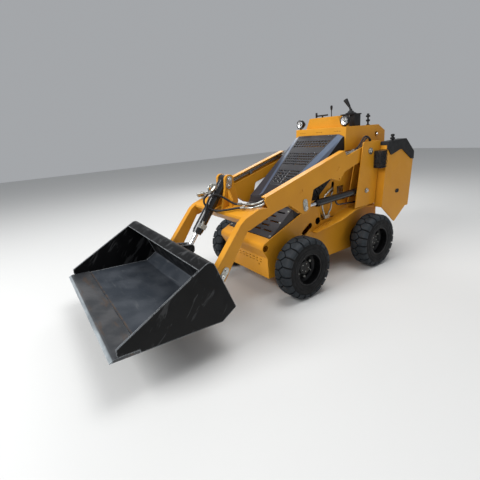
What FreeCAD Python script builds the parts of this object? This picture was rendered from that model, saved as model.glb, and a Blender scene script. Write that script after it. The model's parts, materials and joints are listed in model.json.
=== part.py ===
import FreeCAD, Part
import Sketcher
import math
import os

from FreeCAD import Placement, Rotation, Vector

# A compact stand-on skid steer loader with a bucket, in millimetres.
# The front of the machine points along -Y, its left side along +X, and the wheels stand on Z = 0.
# The origin is at the middle of the machine's length and width, on the ground.

doc = FreeCAD.newDocument("skid_steer_loader")
sheet = doc.addObject("Spreadsheet::Sheet", "Sizes")

# Every driving dimension: name, value in millimetres (angles in degrees), what it is
SIZES = [
    # wheels
    ("tyre_diameter", 450, "outside diameter of the solid tyres"),
    ("tyre_width", 150, "width of a tyre"),
    ("tyre_face_x", 510, "outer face of a tyre from the centre line"),
    ("tyre_crown", 16, "how far the tread drops at its shoulders"),
    ("tyre_shoulder", 26, "width of a sloping shoulder"),
    ("rim_diameter", 236, "seat of the tyre on the rim"),
    ("rim_wall", 8, "thickness of the rim's barrel and disc"),
    ("rim_inset", 6, "rim edge behind the tyre's face"),
    ("disc_depth", 74, "how deep the wheel disc lies behind the rim edge"),
    ("hub_diameter", 96, "raised hub in the middle of the disc"),
    ("hub_height", 26, "how far the hub stands out of the disc"),
    ("stud_count", 6, "wheel studs on a disc"),
    ("stud_circle", 142, "diameter of the stud circle"),
    ("stud_diameter", 20, "wheel nut over its corners"),
    ("stud_height", 14, "height of a wheel nut"),
    ("front_axle_y", -7, "front axle"),
    ("rear_axle_y", 846, "rear axle"),
    ("motor_diameter", 168, "wheel motor on the side plate"),
    ("motor_flange_diameter", 212, "round flange of the wheel motor"),
    ("motor_flange", 14, "thickness of that flange"),
    ("motor_length", 58, "wheel motor, out from the side plate"),
    ("spindle_diameter", 52, "spindle on which the wheel turns"),
    # chassis
    ("frame_half_width", 281, "outer face of a side plate from the centre line"),
    ("side_plate", 8, "thickness of the side plates"),
    ("frame_bottom_z", 140, "underside of the chassis"),
    ("frame_rear_y", 1124, "rear end of the chassis"),
    ("nose_front_y", -251, "foremost point of the rounded nose"),
    ("nose_front_z", 397, "height of the foremost point of the nose"),
    ("nose_top_y", -174, "rear edge of the nose's top face"),
    ("nose_top_z", 441, "height of that edge"),
    ("nose_under_y", -209, "where the nose turns into the front plate"),
    ("nose_under_z", 300, "height of that turn"),
    ("nose_radius", 34, "outer radius of the rolled nose"),
    ("nose_hole_diameter", 48, "hole in the side plate at the nose"),
    ("nose_hole_inset", 30, "that hole behind the foremost point"),
    ("nose_hole_drop", 17, "that hole below the foremost point"),
    ("front_slot_length", 26, "small slot in the front plate"),
    ("front_slot_width", 7, "its width"),
    ("front_slot_pitch", 44, "spacing of those slots"),
    ("front_slot_count", 10, "slots in a row"),
    ("front_slot_z", 274, "upper row of those slots"),
    ("front_slot_row", 20, "spacing of their two rows"),
    ("front_hole_diameter", 14, "small holes low in the front plate"),
    ("front_hole_x", 172, "those holes from the centre line"),
    ("front_hole_z", 230, "their height"),
    ("side_top_y", 153, "where the sloping top edge of the side plate ends"),
    ("side_top_z", 572, "height of that end"),
    ("side_step_z", 646, "top of the side plate in front of the side bay"),
    ("side_step_y", 342, "front of the side bay"),
    ("round_hole_y", 329, "round hole in the side plate"),
    ("round_hole_z", 473, "height of the round hole"),
    ("round_hole_diameter", 60, "diameter of the round hole"),
    ("slot_y", 205, "middle of the slanted slot"),
    ("slot_z", 430, "height of the slot's middle"),
    ("slot_length", 128, "overall length of the slanted slot"),
    ("slot_width", 46, "width of the slanted slot"),
    ("slot_angle", 33, "slope of the slanted slot"),
    ("deck_z", 470, "top of the deck between the side plates"),
    # fenders
    ("fender_plate", 6, "thickness of the fender plate"),
    ("fender_front_y", 256, "front end of the fender"),
    ("fender_front_z", 400, "height of the front end"),
    ("fender_front_x", 330, "outer edge at the front end"),
    ("fender_mid_y", 500, "where the fender reaches its full width"),
    ("fender_mid_z", 470, "height there"),
    ("fender_gap", 78, "gap between the rear tyre and the fender's top"),
    ("fender_top_y", 801, "highest line of the fender"),
    ("fender_rear_drop", 34, "how far the fender drops at its rear end"),
    ("fender_rib_length", 120, "raised ribs near the fender's front end"),
    ("fender_rib_width", 12, "width of a rib"),
    ("fender_rib_height", 7, "how far a rib stands up"),
    # towers
    ("tower_outer_x", 392, "outer face of a tower"),
    ("tower_plate", 8, "thickness of the tower plates"),
    ("tower_gap", 72, "clear width between the plates of a tower"),
    ("tower_foot_front_y", 658, "front edge at the foot"),
    ("tower_foot_rear_y", 930, "rear edge at the foot"),
    ("tower_head_front_y", 754, "front edge at the head"),
    ("tower_head_rear_y", 994, "rear edge at the head"),
    ("tower_head_z", 1061, "top of the towers"),
    ("tower_front_radius", 18, "rounding of the top front corner"),
    ("tower_web", 9, "thickness of the web behind the arm"),
    ("tower_cap", 8, "thickness of the pin heads on a tower"),
    # wings beside the operator
    ("wing_x", 458, "outer face of a wing plate"),
    ("wing_plate", 5, "thickness of a wing plate"),
    ("wing_rear_y", 1406, "rear end of a wing"),
    ("wing_toe_share", 0.431, "lowest point of a wing, as a share of the way from tower to rear end"),
    ("wing_notch_share", 0.8, "small step at the rear lower corner, as such a share"),
    ("wing_heel_share", 0.899, "rear lower corner, as such a share"),
    ("wing_hole_share", 0.485, "oval hole in a wing, as such a share"),
    ("wing_rear_z", 860, "where the pad meets the wing's rear edge"),
    ("wing_heel_z", 446, "height of the rear lower corner"),
    ("wing_toe_z", 329, "height of the lowest point"),
    ("wing_front_z", 496, "lower front corner"),
    ("wing_head_z", 1030, "top edge of a wing under its pad"),
    ("wing_hole_z", 609, "height of the oval hole"),
    ("wing_hole_length", 52, "length of the oval hole"),
    ("wing_hole_width", 30, "width of the oval hole"),
    # moulded pads on the wings
    ("pad_inner_x", 392, "inner side of a pad"),
    ("pad_lip", 8, "how far a pad stands out of the wing plate"),
    ("pad_top_z", 1048, "top of a pad at its front"),
    ("pad_crest_share", 0.702, "rear end of a pad's top, as a share of the wing's length"),
    ("pad_wave_low_share", 0.2227, "lowest point of the wavy edge, as such a share"),
    ("pad_wave_high_share", 0.567, "crest of the wavy edge, as such a share"),
    ("pad_roof", 30, "thickness of a pad over the wing"),
    ("pad_knob_share", 0.336, "knob on the left pad, as such a share"),
    ("pad_knob_diameter", 38, "diameter of that knob"),
    ("pad_knob_height", 54, "height of that knob"),
    ("pad_sink", 2, "how far the knob's foot reaches below the pad's top"),
    ("pad_crest_z", 1058, "height of that end"),
    ("pad_wave_low_z", 934, "its height"),
    ("pad_wave_high_z", 972, "its height"),
    ("pad_front_z", 982, "lower edge at the front"),
    # console
    ("console_half_width", 283, "outer face of the console's side"),
    ("console_front_y", 667, "foot of the console's front face"),
    ("console_rear_y", 1223, "rear end of the console"),
    ("console_top_z", 1192, "top of the console"),
    ("console_depth", 192, "depth of the console below its top"),
    ("console_face", 95, "depth of the console's front face"),
    ("console_chamfer", 100, "length of the slope at the rear of the top"),
    ("console_chamfer_drop", 54, "drop of that slope"),
    ("console_wall", 5, "wall of the console"),
    ("console_lean", 8, "how far the front face leans back"),
    ("console_hole", 9, "small holes in the front face"),
    ("console_hole_x", 197, "outer groups of those holes from the centre line"),
    ("console_hole_drop", 35, "those holes below the console's top"),
    ("lock_hole_y", 1095, "round hole in the console's side"),
    ("lock_hole_drop", 81, "that hole below the console's top"),
    ("lock_hole_diameter", 46, "its diameter"),
    ("cowl_front_y", 725, "front face of the cowl"),
    ("cowl_foot_half", 203, "half width of the cowl at its foot"),
    ("cowl_head_half", 157, "half width of the cowl at its top"),
    ("cowl_height", 92, "height of the cowl"),
    ("cowl_depth", 150, "depth of the cowl"),
    ("lamp_diameter", 80, "outside diameter of a work lamp"),
    ("lamp_depth", 56, "depth of a work lamp"),
    ("lamp_x", 250, "work lamp from the centre line"),
    ("lamp_y", 690, "front face of the work lamps"),
    ("lamp_rise", 47, "middle of the work lamps above the console"),
    ("lamp_post", 18, "width of the post under a lamp"),
    ("lock_pin_diameter", 22, "lock pin through the holes in the console's sides"),
    ("joystick_x", 190, "joystick from the centre line"),
    ("joystick_y", 856, "joystick along the machine"),
    ("joystick_height", 119, "height of the joystick over its plate"),
    ("joystick_boot", 88, "rubber boot under the joystick"),
    ("lever_x", -16, "hand lever from the centre line"),
    ("lever_height", 102, "height of the hand lever over the cowl"),
    ("knob_x", 258, "knob stand from the centre line"),
    ("knob_y", 1003, "knob stand along the machine"),
    ("knob_diameter", 36, "diameter of the knob stand's discs"),
    ("knob_height", 96, "height of the knob stand"),
    # hood and front cover
    ("hood_half_foot", 93, "half width of the perforated face at its foot"),
    ("hood_half_top", 221, "half width of the perforated face at its top"),
    ("hood_half", 270, "half width of the hood over its sides"),
    ("hood_band", 48, "width of the bevelled band beside the face"),
    ("hood_band_drop", 16, "how far the band falls away"),
    ("hood_edge_drop", 30, "how far the outer edge lies below the face at the foot"),
    ("hood_top_y", 647, "top edge of the hood"),
    ("hood_top_drop", 58, "top edge of the hood below the console's top"),
    ("hood_foot_y", 76, "foot of the sloping face"),
    ("hood_foot_z", 700, "height of that foot"),
    ("hood_skirt", 190, "depth of the hood's sides below its face"),
    ("hood_low_z", 540, "lowest edge of the hood's sides"),
    ("hood_sheet", 4, "thickness of the hood"),
    ("louvre_length", 62, "length of a louvre in the hood's sides"),
    ("louvre_width", 11, "width of a louvre"),
    ("louvre_pitch", 38, "spacing of the louvres"),
    ("louvre_count", 8, "louvres in a side"),
    ("louvre_first", 170, "first louvre from the hood's foot, along the slope"),
    ("louvre_edge", 14, "solid edge below the louvres"),
    ("screen_low_y", 165, "lower end of the window that the screen fills"),
    ("screen_high_y", 615, "upper end of that window"),
    ("screen_border", 16, "solid face beside that window"),
    ("screen_margin", 24, "middle of the outermost holes from the face's edge"),
    ("screen_band_high", 559, "middle of the upper band of three rows"),
    ("screen_band_mid", 410, "middle of the next band of five rows"),
    ("screen_band_low", 244, "middle of the lower band of five rows"),
    ("screen_hole", 13, "side of a square hole in the screen"),
    ("screen_columns", 12, "holes in a row"),
    ("screen_row_pitch", 31, "spacing of the rows"),
    ("cover_foot_gap", 6, "gap between nose and front cover"),
    ("cover_head_y", 58, "top edge of the front cover"),
    ("cover_head_z", 619, "height of the top edge"),
    ("cover_half", 270, "half width of the front cover"),
    ("cover_sheet", 4, "thickness of the front cover"),
    ("cover_side_depth", 96, "depth of the front cover's sides"),
    ("cover_slot_length", 92, "length of a slot in the front cover"),
    ("cover_slot_width", 16, "width of a slot"),
    ("cover_slot_pitch", 127, "spacing of the slots across"),
    # rear body and platform
    ("body_half", 262, "half width of the engine bay's side panels"),
    ("body_panel", 5, "thickness of the engine bay's panels"),
    ("bay_hole_y", 530, "middle of the oval hole in a side panel"),
    ("bay_hole_z", 712, "its height"),
    ("bay_hole_length", 104, "length of the oval hole in a side panel"),
    ("bay_hole_width", 34, "its width"),
    ("bay_window_y", 628, "middle of the square window in a side panel"),
    ("bay_window_z", 672, "its height"),
    ("bay_window_size", 84, "side of that window"),
    ("engine_half", 185, "half width of the engine block"),
    ("engine_front_y", 430, "front of the engine block"),
    ("engine_rear_y", 900, "rear of the engine block"),
    ("engine_height", 320, "height of the engine block over the deck"),
    ("engine_sump", 90, "depth of the engine block below the deck"),
    ("guard_front_y", 905, "front of the mesh box beside the left tower"),
    ("guard_low_z", 835, "underside of that box"),
    ("guard_high_z", 978, "top of that box"),
    ("rear_slot_length", 300, "cooling slots in the rear panel"),
    ("rear_slot_width", 14, "width of those slots"),
    ("rear_slot_pitch", 34, "spacing of those slots"),
    ("rear_slot_count", 8, "number of those slots"),
    ("platform_half", 280, "half width of the operator platform"),
    ("platform_front_y", 1128, "front edge of the platform"),
    ("platform_rear_y", 1330, "rear edge of the platform"),
    ("platform_z", 250, "top of the platform"),
    ("platform_depth", 40, "depth of the platform's rim"),
    ("platform_wall", 6, "thickness of the platform's plates"),
    ("platform_bracket_x", 200, "platform brackets from the centre line"),
    # boom
    ("pivot_y", 845, "boom pivot"),
    ("pivot_z", 982, "height of the boom pivot"),
    ("pivot_pin_diameter", 40, "boom pivot pin"),
    ("arm_outer_x", 374, "outer face of an arm"),
    ("arm_width", 52, "width of an arm over both plates"),
    ("arm_plate", 9, "thickness of the arm plates"),
    ("arm_boss_radius", 52, "rounded end of an arm at the pivot"),
    ("arm_flange", 9, "thickness of the bent top flange"),
    ("flange_low_y", -267, "low end of the top flange"),
    ("flange_low_z", 776, "its height"),
    ("flange_high_y", 538, "high end of the top flange"),
    ("flange_high_z", 1012, "its height"),
    ("pipe_slot", 58, "depth of the open trough beside the pipes"),
    ("pipe_diameter", 13, "hydraulic pipes in the trough"),
    ("pipe_inner_x", 341, "inner pipe from the centre line"),
    ("pipe_outer_x", 356, "outer pipe from the centre line"),
    ("pipe_inner_drop", 23, "inner pipe below the flange's top"),
    ("pipe_outer_drop", 41, "outer pipe below the flange's top"),
    ("ferrule_diameter", 17, "crimped end of a hose"),
    ("plug_length", 46, "oval pressed mark in the arm's outer plate"),
    ("plug_width", 20, "its width"),
    ("plug_depth", 3, "its depth"),
    ("lug_hole", 14, "small hole in the arm's outer plate"),
    ("lift_pin_y", 97, "lift cylinder's pin on an arm"),
    ("lift_pin_z", 637, "its height"),
    ("lug_radius", 42, "rounded lug round that pin"),
    ("leg_knee_y", -440, "upper bend of the arm's leg"),
    ("leg_knee_z", 667, "its height"),
    ("leg_bend_y", -481, "lower bend of the arm's leg"),
    ("leg_bend_z", 637, "its height"),
    ("bucket_pin_y", -650, "bucket pin"),
    ("bucket_pin_z", 334, "its height"),
    ("bucket_pin_diameter", 32, "bucket pin"),
    # crossmember, ears and tilt cylinder
    ("ear_pin_y", -344, "upper pin of the tilt cylinder"),
    ("ear_pin_z", 885, "its height"),
    ("ear_radius", 33, "rounded top of the ears"),
    ("ear_inner_x", 40, "inner face of an ear"),
    ("ear_plate", 22, "thickness of an ear"),
    ("ear_rib", 14, "thickness of the rib outside an ear"),
    ("ear_rib_reach", 48, "how far that rib reaches out"),
    ("keeper_plate", 5, "thickness of the keepers over the pins"),
    ("keeper_width", 44, "width of a keeper"),
    ("keeper_length", 92, "length of a keeper"),
    ("keeper_head", 6, "height of the pin heads on the keepers"),
    ("tilt_pin_y", -682, "lower pin of the tilt cylinder at rest"),
    ("tilt_pin_z", 444, "its height"),
    ("tilt_pin_diameter", 28, "both pins of the tilt cylinder"),
    ("tilt_barrel_diameter", 74, "outside of the tilt cylinder"),
    ("tilt_barrel_length", 430, "pin to gland of the tilt cylinder"),
    ("tilt_port_up", 92, "pin to the upper port of the tilt cylinder"),
    ("tilt_port_low", 386, "pin to its lower port"),
    ("hose_diameter", 15, "outside of the braided hoses"),
    ("pivot_hose_diameter", 14, "outside of the hoses over the boom pivot"),
    ("tilt_rod_diameter", 32, "rod of the tilt cylinder"),
    # lift cylinders
    ("lift_base_y", 801, "lower bolt of a tower, base of the lift cylinder"),
    ("lift_base_z", 660, "its height"),
    ("lift_x", 348, "centre line of a lift cylinder"),
    ("lift_barrel_diameter", 56, "outside of a lift cylinder"),
    ("lift_barrel_length", 549, "base pin to gland"),
    ("lift_gland", 18, "length of the gland"),
    ("hard_line_diameter", 14, "steel line under a lift cylinder"),
    ("lift_rod_diameter", 28, "rod of a lift cylinder"),
    ("lift_pin_diameter", 28, "pins of a lift cylinder"),
    ("eye_radius", 27, "eyes of the lift cylinders"),
    ("eye_width", 30, "width of a cylinder's eye"),
    # bucket, drawn level with its pin at the origin
    ("bucket_curl", 3.5, "how far the bucket is curled back at rest"),
    ("bucket_half", 616, "half width of the bucket"),
    ("bucket_floor_z", -140, "underside of the floor below the pin"),
    ("bucket_tip_y", -749, "tip of the cutting edge"),
    ("bucket_nose_y", -714, "front of the side plates"),
    ("bucket_nose_low", -115, "lower end of the nose"),
    ("bucket_nose_high", -84, "upper end of the nose"),
    ("bucket_peak_y", -207, "top rear corner before rounding"),
    ("bucket_peak_z", 234, "its height"),
    ("bucket_peak_radius", 52, "rounding of that corner"),
    ("bucket_back_y", -63, "lower end of the back plate"),
    ("bucket_back_z", -78, "its height"),
    ("bucket_heel_y", -155, "rear end of the floor"),
    ("bucket_sheet", 8, "thickness of floor and back"),
    ("bucket_side", 10, "thickness of the side plates"),
    ("edge_plate", 16, "thickness of the cutting edge"),
    ("edge_depth", 150, "depth of the cutting edge"),
    ("edge_bevel", 24, "length of the worn bevel"),
    ("lip_length", 30, "how far the top edge runs on past its bend"),
    # clearances
    ("run_clearance", 0.05, "radial clearance of a pin in its bore"),
    ("side_clearance", 2, "side clearance of an eye between its plates"),
]

for row, (alias, number, meaning) in enumerate(SIZES, start=1):
    sheet.set("A%d" % row, alias.replace("_", " "))
    sheet.set("B%d" % row, str(number))
    sheet.setAlias("B%d" % row, alias)
    sheet.set("C%d" % row, meaning)
doc.recompute()


def formula_of(number):
    """The sheet formula behind a length, or the number itself."""
    return getattr(number, "formula", "(%r)" % float(number))


class Length(float):
    """A number that remembers the sheet formula it came from."""

    def __new__(cls, value, formula):
        length = float.__new__(cls, value)
        length.formula = formula
        return length

    def _joined(self, value, sign, first, second):
        return Length(value, "(%s %s %s)" % (formula_of(first), sign, formula_of(second)))

    def __add__(self, other):
        return self._joined(float(self) + float(other), "+", self, other)

    def __radd__(self, other):
        return self._joined(float(other) + float(self), "+", other, self)

    def __sub__(self, other):
        return self._joined(float(self) - float(other), "-", self, other)

    def __rsub__(self, other):
        return self._joined(float(other) - float(self), "-", other, self)

    def __mul__(self, other):
        return self._joined(float(self) * float(other), "*", self, other)

    def __rmul__(self, other):
        return self._joined(float(other) * float(self), "*", other, self)

    def __truediv__(self, other):
        return self._joined(float(self) / float(other), "/", self, other)

    def __neg__(self):
        return self._joined(-float(self), "-", 0, self)


class Sizes:
    """Reads a named cell of the sheet."""

    def __getattr__(self, alias):
        return Length(float(sheet.get(alias)), "Sizes." + alias)


s = Sizes()

# Derived places
wheel_radius = s.tyre_diameter / 2
frame_inner_x = s.frame_half_width - s.side_plate
tower_inner_x = s.tower_outer_x - 2 * s.tower_plate - s.tower_gap
arm_inner_x = s.arm_outer_x - s.arm_width
fender_top_z = s.tyre_diameter + s.fender_gap
cowl_head_z = s.console_top_z + s.cowl_height
console_low_z = s.console_top_z - s.console_depth
hood_top_z = s.console_top_z - s.hood_top_drop
CUT = 2  # how far a cutting tool reaches past the faces it cuts
pieces = []


def drive(item, path, number):
    """Sets a property, bound to the sheet where the number comes from it."""
    if isinstance(number, Length):
        item.setExpression(path, number.formula)
    elif "." not in path:
        setattr(item, path, number)


def unit(a, b):
    """The direction from point a to point b in the side view, and the distance."""
    length = math.hypot(b[0] - a[0], b[1] - a[1])
    return ((b[0] - a[0]) / length, (b[1] - a[1]) / length), length


(flange_dy, flange_dz), flange_length = unit((s.flange_low_y, s.flange_low_z), (s.flange_high_y, s.flange_high_z))
_, hood_length = unit((s.hood_foot_y, s.hood_foot_z), (s.hood_top_y, hood_top_z))


def hood_face_z(y):
    """Height of the hood's sloping face at a place along the machine."""
    share = (y - s.hood_foot_y) / (s.hood_top_y - s.hood_foot_y)
    return s.hood_foot_z + share * (hood_top_z - s.hood_foot_z)


def outline_edges(points):
    """Closed outline as lines, with an arc at each corner that has a radius as its third number."""
    points = [tuple(float(number) for number in point) for point in points]
    count = len(points)
    corners = []
    for i, point in enumerate(points):
        here = (point[0], point[1])
        radius = point[2] if len(point) > 2 else 0
        if radius <= 0:
            corners.append((here, here, here))
            continue
        before, room_before = unit(here, points[i - 1])
        after, room_after = unit(here, points[(i + 1) % count])
        cosine = before[0] * after[0] + before[1] * after[1]
        half = math.acos(max(-1, min(1, cosine))) / 2
        reach = min(radius / math.tan(half), 0.49 * room_before, 0.49 * room_after)
        radius = reach * math.tan(half)
        middle = (before[0] + after[0], before[1] + after[1])
        scale = (radius / math.sin(half)) / math.hypot(*middle)
        centre = (here[0] + middle[0] * scale, here[1] + middle[1] * scale)
        towards, _ = unit(centre, here)
        start = (here[0] + before[0] * reach, here[1] + before[1] * reach)
        top = (centre[0] + towards[0] * radius, centre[1] + towards[1] * radius)
        end = (here[0] + after[0] * reach, here[1] + after[1] * reach)
        corners.append((start, top, end))
    edges = []
    for i, (start, top, end) in enumerate(corners):
        if start != end:
            edges.append(Part.Arc(Vector(*start, 0), Vector(*top, 0), Vector(*end, 0)))
        following = corners[(i + 1) % count][0]
        if math.hypot(following[0] - end[0], following[1] - end[1]) > 1e-6:
            edges.append(Part.LineSegment(Vector(*end, 0), Vector(*following, 0)))
    return edges


def bent_sheet(points, thickness):
    """Outline of a bent sheet: the given line, and the same line moved to its left by the thickness."""
    points = [tuple(float(number) for number in point) for point in points]
    thickness = float(thickness)
    lines = []
    for a, b in zip(points, points[1:]):
        (dy, dz), _ = unit(a, b)
        lines.append((a[0] - dz * thickness, a[1] + dy * thickness, dy, dz))
    moved = [(lines[0][0], lines[0][1])]
    for i in range(1, len(points) - 1):
        y1, z1, dy1, dz1 = lines[i - 1]
        y2, z2, dy2, dz2 = lines[i]
        cross = dy1 * dz2 - dz1 * dy2
        along = ((y2 - y1) * dz2 - (z2 - z1) * dy2) / cross
        radius = points[i][2] if len(points[i]) > 2 else 0
        if radius > 0:
            radius = radius - thickness if cross > 0 else radius + thickness
        moved.append((y1 + dy1 * along, z1 + dz1 * along, max(radius, 0)))
    (dy, dz), _ = unit(points[-2], points[-1])
    moved.append((points[-1][0] - dz * thickness, points[-1][1] + dy * thickness))
    return list(points) + moved[::-1]


def new_body(label):
    """A body whose label names its file."""
    body = doc.addObject("PartDesign::Body", label)
    body.Label = label
    pieces.append(body)
    return body


def plane_sketch(body, role, name, offset=0.0):
    """An empty sketch on one of the body's own origin planes, moved along the plane's normal."""
    sketch = body.newObject("Sketcher::SketchObject", name)
    plane = [f for f in body.Origin.OriginFeatures if f.Role == role][0]
    sketch.AttachmentSupport = [(plane, "")]
    sketch.MapMode = "FlatFace"
    sketch.AttachmentOffset = Placement(Vector(0, 0, float(offset)), Rotation())
    drive(sketch, "AttachmentOffset.Base.z", offset)
    return sketch


def pad(body, name, sketch, length):
    """Pads a sketch by a length."""
    item = body.newObject("PartDesign::Pad", name)
    item.Profile = sketch
    drive(item, "Length", length)
    sketch.Visibility = False
    body.Tip = item
    return item


def pocket(body, name, sketch, length, towards_normal=True):
    """Cuts a sketch out of the body by a length."""
    item = body.newObject("PartDesign::Pocket", name)
    item.Profile = sketch
    item.Reversed = towards_normal
    drive(item, "Length", length)
    sketch.Visibility = False
    body.Tip = item
    return item


def side_pad(body, name, outline, low_x, length):
    """Pads a side-view outline (y, z) from low_x along +X."""
    sketch = plane_sketch(body, "YZ_Plane", name + "_sketch", low_x)
    sketch.addGeometry(outline_edges(outline), False)
    return pad(body, name, sketch, length)


def circle_sketch(body, name, y, z, radius, low_x):
    """A circle in the side view, its radius and place bound to the sheet."""
    sketch = plane_sketch(body, "YZ_Plane", name + "_sketch", low_x)
    sketch.addGeometry(Part.Circle(Vector(float(y), float(z), 0), Vector(0, 0, 1), float(radius)), False)
    for kind, number in (("Radius", radius), ("DistanceX", y), ("DistanceY", z)):
        if not isinstance(number, Length):
            continue
        if kind == "Radius":
            index = sketch.addConstraint(Sketcher.Constraint("Radius", 0, float(number)))
        else:
            index = sketch.addConstraint(Sketcher.Constraint(kind, -1, 1, 0, 3, float(number)))
        sketch.setExpression("Constraints[%d]" % index, number.formula)
    return sketch


def side_boss(body, name, y, z, radius, low_x, length):
    """A round boss along X."""
    return pad(body, name, circle_sketch(body, name, y, z, radius, low_x), length)


def side_bore(body, name, y, z, radius, low_x, length):
    """A round hole along X, cut from low_x towards +X."""
    return pocket(body, name, circle_sketch(body, name, y, z, radius, low_x), length)


def side_pocket(body, name, outline, low_x, length):
    """A hole of any side-view outline, cut from low_x towards +X."""
    sketch = plane_sketch(body, "YZ_Plane", name + "_sketch", low_x)
    sketch.addGeometry(outline_edges(outline), False)
    return pocket(body, name, sketch, length)


def low_side(side, inner_x, width):
    """The lower X of a piece that lies from inner_x outward by width, on the left (1) or right (-1)."""
    return inner_x if side > 0 else -inner_x - width


def slot_outline(y, z, length, width, angle, rounded=True):
    """A slot turned by an angle, with round ends or, for the small ones, ends with cut corners."""
    half, radius = float(length) / 2, float(width) / 2
    a = math.radians(float(angle))
    if rounded:
        corners = [(-half, -radius), (half, -radius), (half, radius), (-half, radius)]
        extra = (radius * 0.98,)
    else:
        inner = half - radius * 0.7
        corners = [(-inner, -radius), (inner, -radius), (half, -radius * 0.3), (half, radius * 0.3)]
        corners += [(inner, radius), (-inner, radius), (-half, radius * 0.3), (-half, -radius * 0.3)]
        extra = ()
    turned = []
    for u, w in corners:
        place = (y + u * math.cos(a) - w * math.sin(a), z + u * math.sin(a) + w * math.cos(a))
        turned.append(tuple(float(number) for number in place) + extra)
    return turned


def square_outline(u, w, size):
    """A square in a sketch, level with its axes."""
    half = float(size) / 2
    return [(u - half, w - half), (u + half, w - half), (u + half, w + half), (u - half, w + half)]


def box(label, low, high):
    """A plain box between two corners, bound to the sheet."""
    piece = doc.addObject("Part::Box", label)
    piece.Label = label
    piece.Placement = Placement(Vector(*[float(number) for number in low]), Rotation())
    for axis, side, name in zip("xyz", range(3), ("Length", "Width", "Height")):
        drive(piece, name, high[side] - low[side])
        drive(piece, "Placement.Base." + axis, low[side])
    pieces.append(piece)
    return piece


def feature(label, shape):
    """A piece whose shape is set directly."""
    piece = doc.addObject("Part::Feature", label)
    piece.Label = label
    piece.Shape = shape
    pieces.append(piece)
    return piece


def prism(outline, low_x, high_x):
    """A solid of a side-view outline between two X values."""
    edges = [e.toShape() for e in outline_edges(outline)]
    face = Part.Face(Part.Wire(Part.__sortEdges__(edges)))
    face.Placement = Placement(Vector(float(low_x), 0, 0), Rotation(Vector(1, 1, 1), 120))
    return face.extrude(Vector(float(high_x - low_x), 0, 0))


def side_prism(outline, side, inner_x, width):
    """A solid of a side-view outline from inner_x outward by a width, on one side of the machine."""
    low_x = low_side(side, inner_x, width)
    return prism(outline, low_x, low_x + width)


def rod_between(start, end, radius):
    """A round bar between two points."""
    start, end = Vector(*start), Vector(*end)
    return Part.makeCylinder(float(radius), (end - start).Length, start, end - start)


def bar_between(start, end, size):
    """A hexagonal bar between two points, as wide over its corners as given."""
    start, end = Vector(*start), Vector(*end)
    turns = [math.radians(60 * k) for k in range(6)]
    corners = [Vector(size / 2 * math.cos(t), size / 2 * math.sin(t), 0) for t in turns]
    face = Part.Face(Part.makePolygon(corners + corners[:1]))
    face.Placement = Placement(start, Rotation(Vector(0, 0, 1), end - start))
    return face.extrude(end - start)


def tube_x(y, z, low_x, length, outer):
    """A round bar along X."""
    place = Vector(float(low_x), float(y), float(z))
    return Part.makeCylinder(float(outer), float(length), place, Vector(1, 0, 0))


def block(low, high):
    """A box between two corners."""
    low, high = Vector(*[float(n) for n in low]), Vector(*[float(n) for n in high])
    size = high - low
    return Part.makeBox(size.x, size.y, size.z, low)


def join(shapes):
    """One solid out of several that touch or overlap."""
    whole = shapes[0].fuse(shapes[1:]) if len(shapes) > 1 else shapes[0]
    return whole.removeSplitter()


def turned(steps, foot, diameter, height):
    """A round knob or boot on a foot point: shares of its radius at shares of its height."""
    foot = Vector(*[float(number) for number in foot])
    radius = float(diameter) / 2
    places = [(0, steps[0][1])] + list(steps) + [(0, steps[-1][1])]
    corners = [foot + Vector(radius * share, 0, float(height) * rise) for share, rise in places]
    face = Part.Face(Part.makePolygon(corners + corners[:1]))
    return face.revolve(foot, Vector(0, 0, 1), 360)


def bent_path(route):
    """Straight runs joined by tangent arcs, each as large as its runs allow, and the tightest radius."""
    points = [Vector(*[float(number) for number in place]) for place in route]
    edges = []
    at = points[0]
    radii = []
    for before, here, after in zip(points, points[1:], points[2:]):
        back, ahead = before - here, after - here
        reach = 0.45 * min(back.Length, ahead.Length)
        back.normalize()
        ahead.normalize()
        half_turn = (math.pi - back.getAngle(ahead)) / 2
        radius = reach / math.tan(half_turn)
        start, end = here + back * reach, here + ahead * reach
        middle = back + ahead
        middle.normalize()
        top = here + middle * (radius / math.cos(half_turn) - radius)
        edges.append(Part.LineSegment(at, start).toShape())
        edges.append(Part.Arc(start, top, end).toShape())
        at = end
        radii.append(radius)
    edges.append(Part.LineSegment(at, points[-1]).toShape())
    return Part.Wire(edges), min(radii)


def bent_tube(route, diameter):
    """A tube along a route of straight runs and tangent arcs."""
    path, _ = bent_path(route)
    start, ahead = Vector(*[float(n) for n in route[0]]), Vector(*[float(n) for n in route[1]])
    section = Part.Wire([Part.makeCircle(float(diameter) / 2, start, ahead - start)])
    return path.makePipeShell([section], True, True)


def hose(label, route, diameter):
    """A hose in a piece of its own, with its length, tightest arc and volume told."""
    path, tightest = bent_path(route)
    solid = bent_tube(route, diameter)
    expected = path.Length * math.pi * float(diameter) ** 2 / 4
    print("%s: length %.0f mm, tightest arc %.0f mm, volume %.3f of section times length" % (
        label, path.Length, tightest, solid.Volume / expected))
    feature(label, solid)


def placed(table, start, end):
    """Places along a route: each row's share of the way between two anchors, and its offset from there."""
    return [tuple(float(a + (b - a) * row[0] + extra) for a, b, extra in zip(start, end, row[1:])) for row in table]


SIDES = (("left", 1), ("right", -1))
AXLES = (("front", s.front_axle_y), ("rear", s.rear_axle_y))


def ring_body(body, name, outline):
    """Revolves an outline (x, radius) about the body's X axis."""
    section = plane_sketch(body, "XZ_Plane", "section_" + name)
    section.addGeometry(outline_edges(outline), False)
    ring = body.newObject("PartDesign::Revolution", "ring_" + name)
    ring.Profile = section
    ring.ReferenceAxis = (section, ["H_Axis"])
    ring.Angle = 360
    section.Visibility = False
    body.Tip = ring
    return section


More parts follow.
